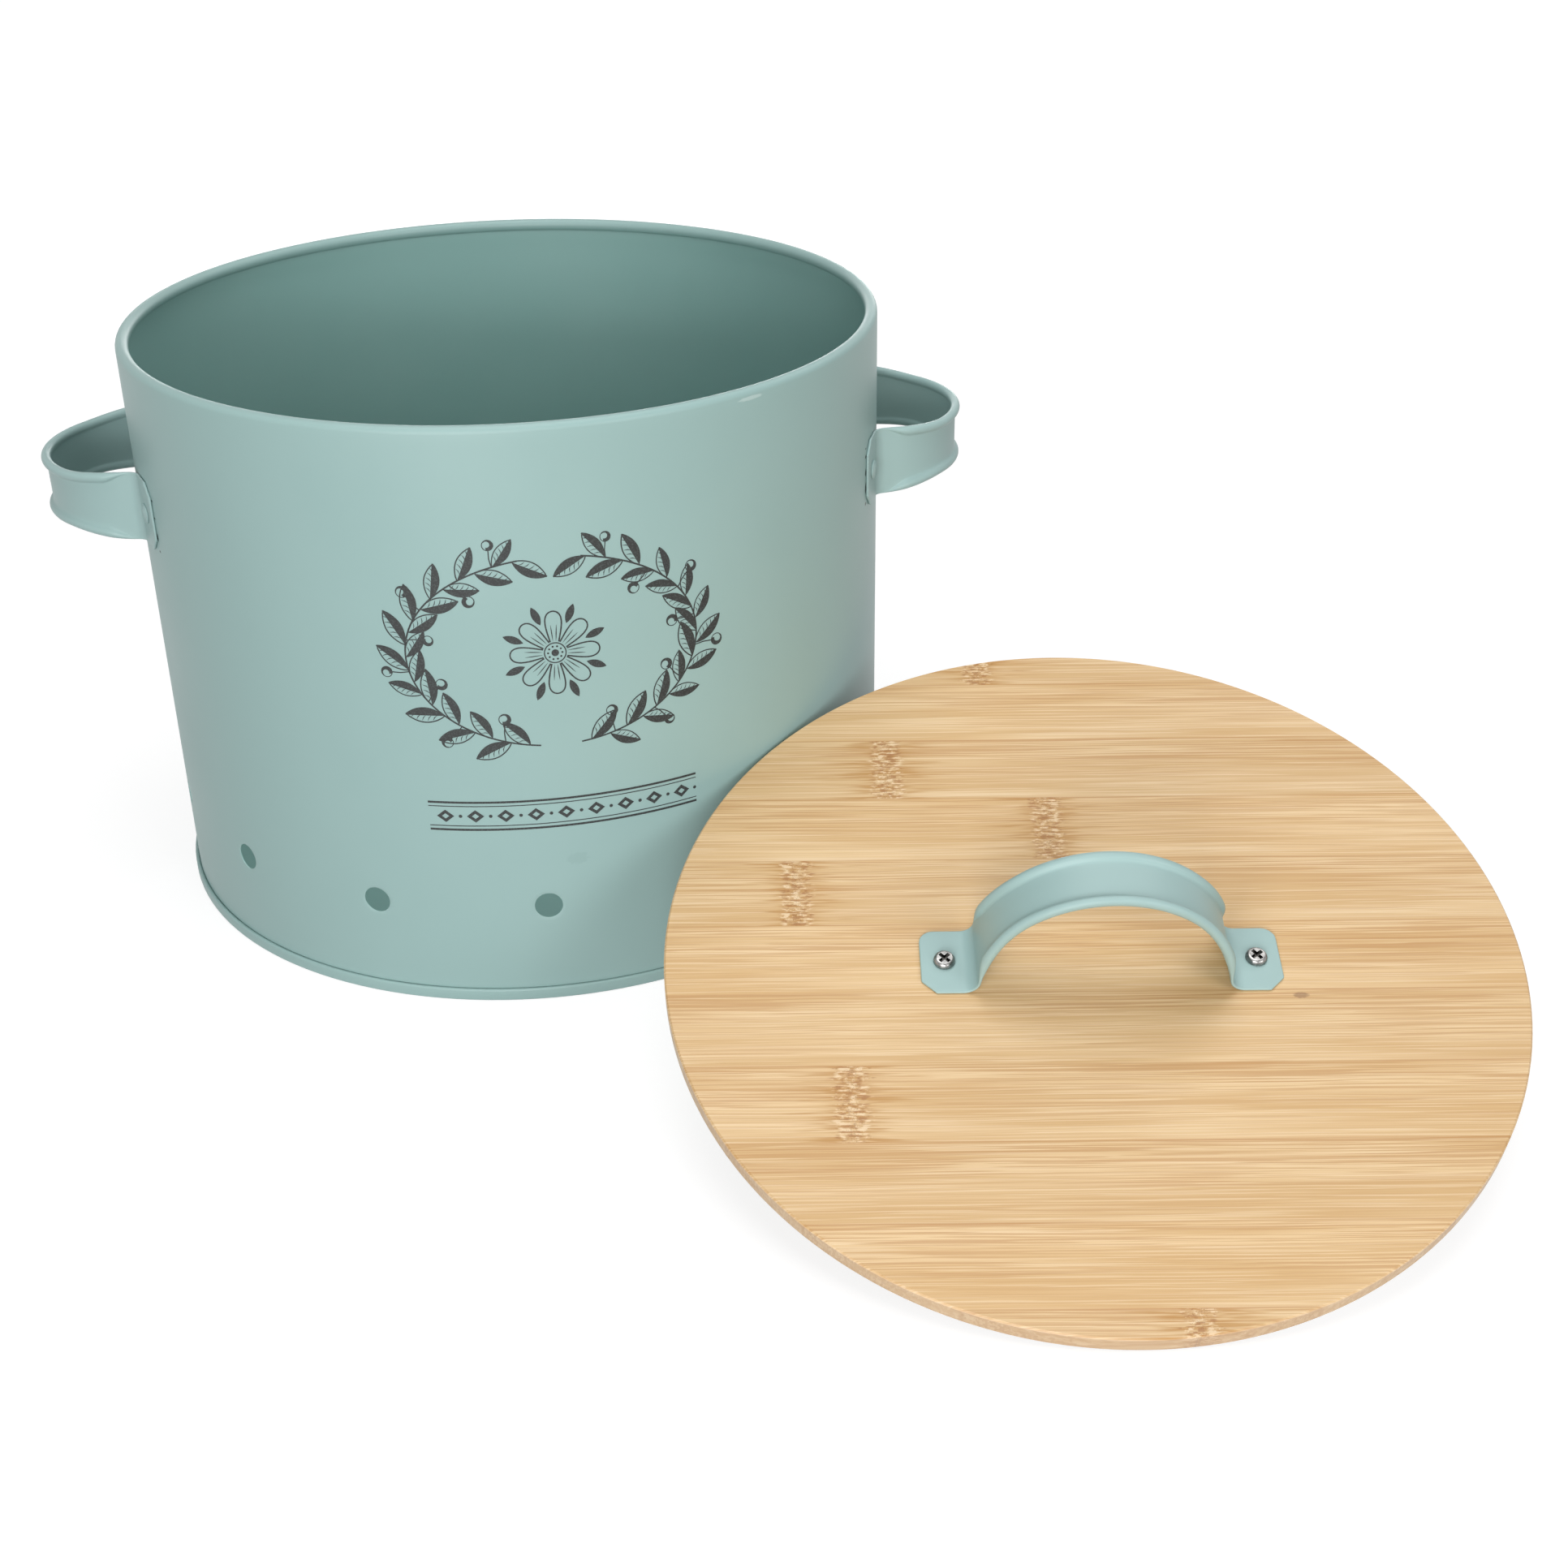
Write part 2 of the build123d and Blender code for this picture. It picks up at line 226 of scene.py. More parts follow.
class Group(Wiring):
    """The wiring of a tree of its own, with named inputs and outputs."""

    def __init__(self, name: str, takes: str, gives: str, kind: str = "ShaderNodeTree") -> None:
        """Starts the tree.

        Args:
            name: Its name.
            takes: The names of its inputs.
            gives: The names of its outputs.
            kind: Its type.
        """
        super().__init__(bpy.data.node_groups.new(name, kind))
        for way, titles in (("INPUT", takes), ("OUTPUT", gives)):
            for title in titles.split(", "):
                self.tree.interface.new_socket(name=title, in_out=way, socket_type=Socket.of(title))
        self.given = self.outputs("NodeGroupInput")

    def close(self, values: Feeds) -> Tree:
        """Feeds the tree's outputs and gives the tree."""
        self.node("NodeGroupOutput", values)
        return self.tree


class Repeat(Group):
    """A geometry tree that starts from a piece and ends in real copies with their finish."""

    def __init__(self, name: str, sizes: str) -> None:
        """Starts the tree with its sizes as named inputs."""
        super().__init__(name, f"Piece, {sizes}, Finish", "Piece", "GeometryNodeTree")
        self.index = self.add("GeometryNodeInputIndex")

    def copies(self, count: Any, spot: Wire | Place = (0, 0, 0), **more: Wire) -> Wire:
        """Sets copies of the piece, each at its spot."""
        points = self.add("GeometryNodePoints", {"Count": count, "Position": spot})
        return self.add("GeometryNodeInstanceOnPoints", {"Points": points, "Instance": self.given["Piece"], **more})

    def real(self, copies: Wire) -> Wire:
        """Makes copies real."""
        return self.add("GeometryNodeRealizeInstances", {"Geometry": copies})

    def finish(self, copies: Wire) -> Tree:
        """Makes the copies real, gives them their finish and ends the tree."""
        feeds = {"Geometry": self.real(copies), "Material": self.given["Finish"]}
        return self.close({"Piece": self.add("GeometryNodeSetMaterial", feeds)})


def ring_tree() -> Tree:
    """Repeats a sector round Z and welds the copies into one shell.

    Returns:
        The tree.
    """
    tree = Repeat("Ring of sectors", "Count, Weld")
    turn = tree.combine(z=tree.index * (2 * pi) / tree.given["Count"])
    copies = tree.real(tree.copies(tree.given["Count"], Rotation=turn))
    return tree.finish(tree.add("GeometryNodeMergeByDistance", {"Geometry": copies, "Distance": tree.given["Weld"]}))


def rivet_tree() -> Tree:
    """Sets four rivets in the wall, two beside each handle, pointing outwards.

    Returns:
        The tree.
    """
    tree = Repeat("Rivets", "Wall Radius, Height, Spread")
    side = tree.index.math("MODULO", 2.0) * 2.0 - 1.0
    angle = (tree.index / 2.0).math("FLOOR") * pi + side * tree.given["Spread"]
    x, y = (angle.math(way) * tree.given["Wall Radius"] for way in ("COSINE", "SINE"))
    spot = tree.combine(x, y, tree.given["Height"])
    return tree.finish(tree.copies(4, spot, Rotation=tree.combine(0.0, pi / 2, angle)))


def screw_tree() -> Tree:
    """Sets two screws on the lid, each turned in by its own angle.

    Returns:
        The tree.
    """
    tree = Repeat("Screws", "Reach, First Turn, Turn Step, Lid Place, Lid Turn")
    given = tree.given
    turn = tree.combine(z=tree.index * given["Turn Step"] + given["First Turn"])
    copies = tree.copies(2, tree.combine((tree.index * 2.0 - 1.0) * given["Reach"]), Rotation=turn)
    feeds = {"Geometry": copies, "Translation": given["Lid Place"], "Rotation": given["Lid Turn"]}
    return tree.finish(tree.add("GeometryNodeTransform", feeds))


def branch_tree() -> Tree:
    """Sets copies in turn left and right of two branches that rise round an oval.

    Returns:
        The tree.
    """
    sizes = "Half Width, Half Height, Count, First Turn, Last Turn, Spread, Least Size, Most Size, Seed"
    tree = Repeat("Branches", sizes)
    given, count = tree.given, tree.given["Count"]
    left = ((tree.index + 0.5) / count).math("FLOOR")
    side = left * -2.0 + 1.0
    number = tree.index - left * count
    angle = (number / (count - 1.0)).ease(0.0, 1.0, given["First Turn"], given["Last Turn"], "LINEAR")
    sine, cosine = angle.math("SINE"), angle.math("COSINE")
    across = given["Half Width"] * side
    along = (given["Half Height"] * sine).math("ARCTAN2", across * cosine)
    leaf_side = (number.math("MODULO", 2.0) * -2.0 + 1.0) * side
    turn = tree.combine(z=leaf_side * given["Spread"] + along)
    feeds = {2: given["Least Size"], 3: given["Most Size"], 8: given["Seed"]}
    size = tree.add("FunctionNodeRandomValue", feeds, 1, data_type="FLOAT")
    spot = tree.combine(across * sine, given["Half Height"] * -1.0 * cosine)
    return tree.finish(tree.copies(count * 2.0, spot, Rotation=turn, Scale=size))


def row_tree() -> Tree:
    """Sets copies side by side in a level row.

    Returns:
        The tree.
    """
    tree = Repeat("Row", "Count, Pitch, Height")
    count = tree.given["Count"]
    x = (tree.index - (count - 1.0) / 2.0) * tree.given["Pitch"]
    return tree.finish(tree.copies(count, tree.combine(x, tree.given["Height"])))


def wrap_tree() -> Tree:
    """Bends a flat print round the wall, its X along the wall and its Y up.

    Returns:
        The tree.
    """
    tree = Repeat("Wrap", "Radius, Bearing, Height")
    x, y, _ = tree.add("GeometryNodeInputPosition").split()
    angle = tree.given["Bearing"] + x / tree.given["Radius"]
    across, ahead = (tree.given["Radius"] * angle.math(way) for way in ("COSINE", "SINE"))
    spot = tree.combine(across, ahead, y + tree.given["Height"])
    return tree.finish(tree.add("GeometryNodeSetPosition", {"Geometry": tree.given["Piece"], "Position": spot}))


@dataclass(frozen=True)
class Trees:
    """The geometry trees, each built once."""

    ring: Tree = field(default_factory=ring_tree)
    rivets: Tree = field(default_factory=rivet_tree)
    screws: Tree = field(default_factory=screw_tree)
    branches: Tree = field(default_factory=branch_tree)
    row: Tree = field(default_factory=row_tree)
    wrap: Tree = field(default_factory=wrap_tree)


def grow(piece: Object, tree: Tree, settings: dict[str, Any]) -> None:
    """Runs a geometry tree on a piece and keeps the result as its plain mesh.

    Args:
        piece: The piece, which holds what the tree starts from.
        tree: The tree.
        settings: The tree's inputs by name.
    """
    modifier = piece.modifiers.new(tree.name, "NODES")
    modifier.node_group = tree
    for name, value in settings.items():
        modifier[tree.interface.items_tree[name].identifier] = value
    piece.update_tag()
    bpy.context.view_layer.update()
    mesh = bpy.data.meshes.new_from_object(piece.evaluated_get(bpy.context.evaluated_depsgraph_get()))
    piece.modifiers.remove(modifier)
    piece.data = mesh


# ---------------------------------------------------------------- meshes


def spaced(start: float, end: float, steps: int) -> list[float]:
    """Even values from start to end, both included."""
    return [start + (end - start) * i / steps for i in range(steps + 1)]


def smooth(share: float) -> float:
    """Eases from 0 to 1."""
    share = min(max(share, 0.0), 1.0)
    return share * share * (3 - 2 * share)


def on_circle(centre: Point, radius: float, angle: float) -> Point:
    """The point of a circle at an angle."""
    return centre[0] + radius * cos(radians(angle)), centre[1] + radius * sin(radians(angle))


def arc(centre: Point, radius: float, start: float, turn: float, steps: int) -> list[Point]:
    """Points on an arc, both ends included, anticlockwise if the turn is positive."""
    return [on_circle(centre, radius, angle) for angle in spaced(start, start + turn, steps)]


def rounded_line(corners: Sequence[Point], radii: Sequence[float], steps: int) -> list[Point]:
    """A line whose inner corners are rounded.

    Args:
        corners: Its ends and corners.
        radii: The radius at each inner corner.
        steps: How many chords each rounding has.

    Returns:
        The points.
    """
    line = [corners[0]]
    for before, corner, after, radius in zip(corners, corners[1:], corners[2:], radii):
        back, ahead = ((Vector(other) - Vector(corner)).normalized() for other in (before, after))
        half = back.angle(ahead) / 2
        centre = Vector(corner) + (back + ahead).normalized() * (radius / sin(half))
        first, last = (Vector(corner) + way * (radius / tan(half)) - centre for way in (back, ahead))
        start = atan2(first.y, first.x)
        turn = (atan2(last.y, last.x) - start + pi) % (2 * pi) - pi
        line += arc(tuple(centre), radius, degrees(start), degrees(turn), steps)
    return [*line, corners[-1]]


def columns_joined(here: int, there: int, count: int) -> Faces:
    """Faces between two columns of points, each given by its first point."""
    return [(here + i, there + i, there + i + 1, here + i + 1) for i in range(count - 1)]


def loops_joined(outer: Sequence[int], inner: Sequence[int]) -> Faces:
    """Faces between two closed loops of as many points."""
    after = [*range(1, len(outer)), 0]
    return [(outer[i], outer[j], inner[j], inner[i]) for i, j in enumerate(after)]


def make_piece(name: str, points: Iterable[Sequence[float]], faces: Sequence[Sequence[int]]) -> Object:
    """Makes an object from points in millimetres.

    Args:
        name: The piece's name.
        points: Its points.
        faces: Its faces, as numbers of points.

    Returns:
        The object, linked to the scene.
    """
    mesh = bpy.data.meshes.new(name)
    mesh.from_pydata([tuple(value * MM for value in point) for point in points], [], faces)
    piece = bpy.data.objects.new(name, mesh)
    bpy.context.scene.collection.objects.link(piece)
    return piece


def clean(piece: Object, sharp: float = 180.0) -> None:
    """Welds doubles, turns the faces outwards and shades the mesh.

    Args:
        piece: The piece.
        sharp: The angle from which an edge stays sharp.
    """
    work = bmesh.new()
    work.from_mesh(piece.data)
    bmesh.ops.remove_doubles(work, verts=work.verts, dist=0.001 * MM)
    bmesh.ops.recalc_face_normals(work, faces=work.faces)
    work.to_mesh(piece.data)
    work.free()
    piece.data.shade_smooth()
    piece.data.set_sharp_from_angle(angle=radians(sharp))


def turned(profile: Sequence[Point], sides: int) -> tuple[list[Place], Faces]:
    """A closed turned form round Z.

    Args:
        profile: Its radii and heights, from its axis at one end to its axis at the other.
        sides: How many sides it has.

    Returns:
        Its points and faces, with doubles at the poles.
    """
    points, faces = [], []
    for side in range(sides):
        angle = 2 * pi * side / sides
        points += [(radius * cos(angle), radius * sin(angle), height) for radius, height in profile]
        faces += columns_joined(side * len(profile), (side + 1) % sides * len(profile), len(profile))
    return points, faces


def hand_over(piece: Object, body: Body, slot: Slot, *replaced: str) -> None:
    """Hands a finished piece over.

    Args:
        piece: The piece.
        body: The body that it rides on.
        slot: The record's material slot of its finish. Not used.
        replaced: The nodes that it stands for.
    """
    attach(piece, body.value)
    if replaced:
        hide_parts(*replaced)
    LOG.info("%s: %d faces, rides on %s", piece.name, len(piece.data.polygons), body.value)


# ---------------------------------------------------------------- finishes


def unevenness_group() -> Tree:
    """Fine and broad unevenness of a surface and a few specks, each from 0 to 1.

    Returns:
        The tree.
    """
    group = Group("Unevenness", "Vector, Fine, Broad", "Fine, Broad, Specks")
    vector = group.given["Vector"]
    fine, broad = (
        group.add("ShaderNodeVectorMath", {0: vector, 3: group.given[size]}, operation="SCALE")
        for size in ("Fine", "Broad")
    )
    cells = group.outputs("ShaderNodeTexVoronoi", {"Vector": fine, "Scale": 0.35})
    specks = cells["Distance"].ease(0.06, 0.02) * cells["Color"].split()[0].ease(0.9, 0.95)
    return group.close({"Fine": group.noise(fine, detail=1), "Broad": group.noise(broad, detail=3), "Specks": specks})


def spot_group() -> Tree:
    """A soft-edged ragged spot round the origin of its coordinates, one unit in radius.

    Returns:
        The tree.
    """
    group = Group("Spot", "Vector, Ragged", "Mask")
    vector = group.given["Vector"]
    reach = (group.noise(vector, 2.5, 3.0) - 0.5) * group.given["Ragged"] + vector.length()
    return group.close({"Mask": reach.ease(1.0, 0.6)})


def grain_group() -> Tree:
    """Bamboo along X, in millimetres, with a knot across it where one is asked for.

    Returns:
        The tree. It gives masks: broad tone, brown and pale fibres, the knot's flecks and its
        pinholes, the brown smears beside it, the glue line at the strip's long edges, what lies
        below the upper face, and the height.
    """
    takes = "Vector, Strip Number, Knot Place, Knot, Strip Middle, Strip Half"
    gives = "Tone, Brown, Pale, Flecks, Light Flecks, Pinholes, Smears, Glue, Rim, Height"
    group = Group("Bamboo grain", takes, gives)
    given, knot = group.given, group.given["Knot"]
    x, y, z = given["Vector"].split()
    shift = given["Strip Number"] * 37.7
    beside = x - given["Knot Place"]
    distance = beside.math("ABSOLUTE")
    bent = (group.noise(group.combine(x * 0.012, y * 0.04, shift)) - 0.5) * 1.2 + y

    def fibres(length: float, width: float, offset: float) -> Wire:
        """Noise drawn out along the strip, in a layer that the offset sets apart."""
        spot = group.combine(x * (1 / length) + (shift + offset), bent * (1 / width) + shift, z * 0.6)
        return group.noise(spot, 1.0, 1.0, 0.55)

    off_middle = y - given["Strip Middle"]
    skin = off_middle / given["Strip Half"] * shift.math("SINE").math("SIGN")
    patch, broad = fibres(70.0, 4.5, 17.3), fibres(150.0, 11.0, 53.9)
    dense = ((patch - 0.5) * 4.5 + skin).ease(-1.1, 1.1, 0.25, 1.0)
    fine, middle, hair = fibres(70.0, 0.55, 3.1), fibres(110.0, 1.1, 9.7), fibres(40.0, 0.34, 61.7)
    brown = fine.ease(0.54, 0.6).math("MAXIMUM", middle.ease(0.6, 0.64))
    brown = brown.math("MAXIMUM", hair.ease(0.55, 0.6) * 0.8)
    pale = fibres(60.0, 0.5, 23.9).ease(0.53, 0.59)
    jag = group.noise(group.combine(shift, y * 0.8, z), 1.0, 3.0, 0.75)
    band = ((jag - 0.5) * 11.0 + distance).ease(5.2, 3.4) * knot
    ripple = group.combine(beside * 0.3 + shift, (jag * 3.0 + y) * 1.3 + shift, z)
    fleck = group.noise(ripple, 1.0, 3.0, 0.65)
    cells = group.add("ShaderNodeTexVoronoi", {"Vector": group.combine(x * 0.7, y * 0.42, shift)})
    column = ((jag - 0.5) * 6.0 + beside).math("ABSOLUTE")
    reach = fibres(80.0, 1.6, 31.3).ease(0.38, 0.66, 8.0, 30.0)
    streaks = fibres(14.0, 0.8, 41.1).ease(0.42, 0.58, 0.2, 1.0)
    glue = (given["Strip Half"] - off_middle.math("ABSOLUTE")).ease(0.42, 0.12)
    masks = {
        "Tone": broad * 0.5 + patch * 0.5,
        "Brown": brown * dense,
        "Pale": pale * (dense * -0.4 + 1.0),
        "Flecks": fleck.ease(0.51, 0.58) * band,
        "Light Flecks": fleck.ease(0.48, 0.41) * band,
        "Pinholes": cells.ease(0.3, 0.16) * column.ease(2.2, 1.2) * knot,
        "Smears": (distance / reach).ease(0.9, 0.15) * knot * streaks,
        "Glue": glue,
        "Rim": z.ease(-0.2, -0.55),
        "Height": brown.math("MAXIMUM", glue) * -0.5 + 1.0,
    }
    return group.close(masks)


@dataclass(frozen=True)
class Effects:
    """Shader groups that several finishes share, each built once."""

    unevenness: Tree = field(default_factory=unevenness_group)
    spot: Tree = field(default_factory=spot_group)
    grain: Tree = field(default_factory=grain_group)


class Finish(Wiring):
    """The wiring of one material."""

    def __init__(self, name: str) -> None:
        """Starts the material.

        Args:
            name: Its name.
        """
        self.material = bpy.data.materials.new(name)
        self.material.use_nodes = True
        self.material.node_tree.nodes.clear()
        super().__init__(self.material.node_tree)

    def uneven(self, effects: Effects, fine: float, broad: float) -> dict[str, Wire]:
        """Unevenness in sizes of its own."""
        feeds = {"Vector": self.place(), "Fine": fine, "Broad": broad}
        return self.outputs("ShaderNodeGroup", feeds, node_tree=effects.unevenness)

    def spot(self, effects: Effects, ragged: float, *spot: Place) -> Wire:
        """The mask of a spot with a centre, a turn and a size."""
        return self.add("ShaderNodeGroup", {"Vector": self.place(*spot), "Ragged": ragged}, node_tree=effects.spot)

    def close(self, feeds: Feeds, kind: str = "ShaderNodeBsdfPrincipled") -> Material:
        """Ends the material in its shader."""
        self.node("ShaderNodeOutputMaterial", {"Surface": self.add(kind, feeds)})
        return self.material


@dataclass(frozen=True)
class Mark:
    """A small mark at one place of a surface, in millimetres: a flaw, or a painted shadow."""

    centre: Place
    size: Place
    colour: Colour
    strength: float


@dataclass(frozen=True)
class Enamel:
    """Satin sage-green enamel over sheet steel, with a painted bounce-light tint on the wall's inner side where one is
    asked for.
    """

    name: str = "sage_enamel"
    colour: Colour = (0.286, 0.426, 0.411)
    worn: Colour = (0.40, 0.54, 0.515)
    # inside is a more saturated copy of the colour for the wall's inner side: painted light standing in for light
    # bouncing inside the bin.
    inside: Colour = (0.26, 0.437, 0.411)
    inside_radius: float = 0.0
    inside_top: float = 0.0
    marks: Sequence[Mark] = ()

    def material(self, effects: Effects) -> Material:
        """The finish as a material.

        Args:
            effects: The shared shader groups.

        Returns:
            The material.
        """
        wiring = Finish(self.name)
        uneven = wiring.uneven(effects, 1.1, 0.02)
        ground = self.colour
        # Painted bounce-light tint: inside the wall line and below its top, the colour turns to the more saturated
        # inside colour.
        if self.inside_radius:
            x, y, z = wiring.place().split()
            within = wiring.combine(x, y).length().math("LESS_THAN", self.inside_radius)
            ground = wiring.blend(within * z.ease(self.inside_top, self.inside_top - 8.0), ground, self.inside)
        colour = wiring.blend(uneven["Broad"].ease(0.35, 0.65, 0.0, 0.07), ground, self.worn)
        colour = wiring.blend(uneven["Specks"] * 0.4, colour, self.worn)
        for mark in self.marks:
            spot = wiring.spot(effects, 0.9, mark.centre, (0, 0, 0), mark.size)
            colour = wiring.blend(spot * mark.strength, colour, mark.colour)
        peel = wiring.bump(uneven["Fine"], 0.02, 0.25)
        normal = wiring.bump(uneven["Broad"], 0.25, 0.35, Normal=peel)
        rough = uneven["Broad"].ease(0.3, 0.7, 0.39, 0.46)
        return wiring.close({"Base Color": colour, "Roughness": rough, "IOR": 1.4, "Normal": normal})


@dataclass(frozen=True)
class Ink:
    """Dull charcoal printing ink."""

    colour: Colour = (0.019, 0.021, 0.021)
    thin: Colour = (0.042, 0.052, 0.051)

    def material(self, effects: Effects) -> Material:
        """The finish as a material.

        Args:
            effects: The shared shader groups.

        Returns:
            The material.
        """
        wiring = Finish("charcoal_print")
        fine = wiring.uneven(effects, 2.2, 0.15)["Fine"]
        colour = wiring.blend(fine.ease(0.45, 0.7), self.colour, self.thin)
        normal = wiring.bump(fine, 0.01, 0.3)
        return wiring.close({"Base Color": colour, "Roughness": 0.55, "IOR": 1.45, "Normal": normal})


@dataclass(frozen=True)
class ZincPlate:
    """Bright zinc plate, lightly brushed by the driver, with painted shade in the screws' cross recess."""

    colour: Colour = (0.31, 0.305, 0.295)
    dull: Colour = (0.17, 0.168, 0.165)
    shade: Colour = (0.06, 0.057, 0.053)

    def material(self, effects: Effects) -> Material:
        """The finish as a material.

        Args:
            effects: The shared shader groups.

        Returns:
            The material.
        """
        wiring = Finish("zinc_plate")
        uneven = wiring.uneven(effects, 3.5, 0.6)
        plate = wiring.blend(uneven["Broad"].ease(0.4, 0.7), self.colour, self.dull)
        # Painted shade: the cross recess is darkened towards the shade colour.
        recess_shade_mask = wiring.add("ShaderNodeAttribute", out="Fac", attribute_name="recess")
        colour = wiring.blend(recess_shade_mask, plate, self.shade)
        rough = uneven["Fine"].ease(0.3, 0.7, 0.2, 0.36)
        normal = wiring.bump(uneven["Fine"], 0.02, 0.4)
        return wiring.close({"Base Color": colour, "Roughness": rough, "Metallic": 1.0, "Normal": normal})


@dataclass(frozen=True)
class Bamboo:
    """Clear-coated bamboo of one strip, with its own tone, number and knot."""

    name: str
    number: int
    middle: float
    half_width: float
    tone: float
    knot_place: float | None
    speck: Place | None
    honey: Colour = (0.583, 0.378, 0.176)
    straw: Colour = (0.68, 0.482, 0.26)
    cream: Colour = (0.78, 0.61, 0.40)
    brown: Colour = (0.41, 0.195, 0.053)
    smear: Colour = (0.39, 0.18, 0.026)
    fleck: Colour = (0.30, 0.12, 0.03)
    sanded: Colour = (0.70, 0.52, 0.37)
    pinhole: Colour = (0.20, 0.10, 0.045)

    def material(self, effects: Effects, lid: "LidPlace") -> Material:
        """The finish as a material.

        Args:
            effects: The shared shader groups.
            lid: Where the lid lies.

        Returns:
            The material.
        """
        wiring = Finish(self.name)
        feeds = {
            "Vector": wiring.place(lid.centre, lid.turn()), "Strip Number": self.number, "Strip Middle": self.middle,
            "Strip Half": self.half_width, "Knot": float(self.knot_place is not None),
            "Knot Place": self.knot_place or 0.0,
        }
        masks = wiring.outputs("ShaderNodeGroup", feeds, node_tree=effects.grain)
        honey, straw = (tuple(value * self.tone for value in colour) for colour in (self.honey, self.straw))
        colour = wiring.blend(masks["Tone"].ease(0.4, 0.62), honey, straw)
        layers = (
            ("Pale", 0.5, self.cream), ("Brown", 0.58, self.brown), ("Smears", 0.7, self.smear),
            ("Light Flecks", 0.7, self.cream), ("Flecks", 0.7, self.fleck), ("Pinholes", 0.9, self.pinhole),
            ("Glue", 0.4, self.brown), ("Rim", 0.4, self.sanded),
        )
        for mask, strength, tint in layers:
            colour = wiring.blend(masks[mask] * strength, colour, tint)
        if self.speck is not None:
            spot = wiring.spot(effects, 0.8, lid.point(*self.speck), lid.turn(), (2.6, 1.2, 1.2))
            colour = wiring.blend(spot * 0.6, colour, self.pinhole)
        rough, normal = masks["Tone"].ease(0.35, 0.65, 0.5, 0.4), wiring.bump(masks["Height"], 0.06, 0.35)
        return wiring.close({"Base Color": colour, "Roughness": rough, "IOR": 1.45, "Normal": normal})


# ---------------------------------------------------------------- the bin


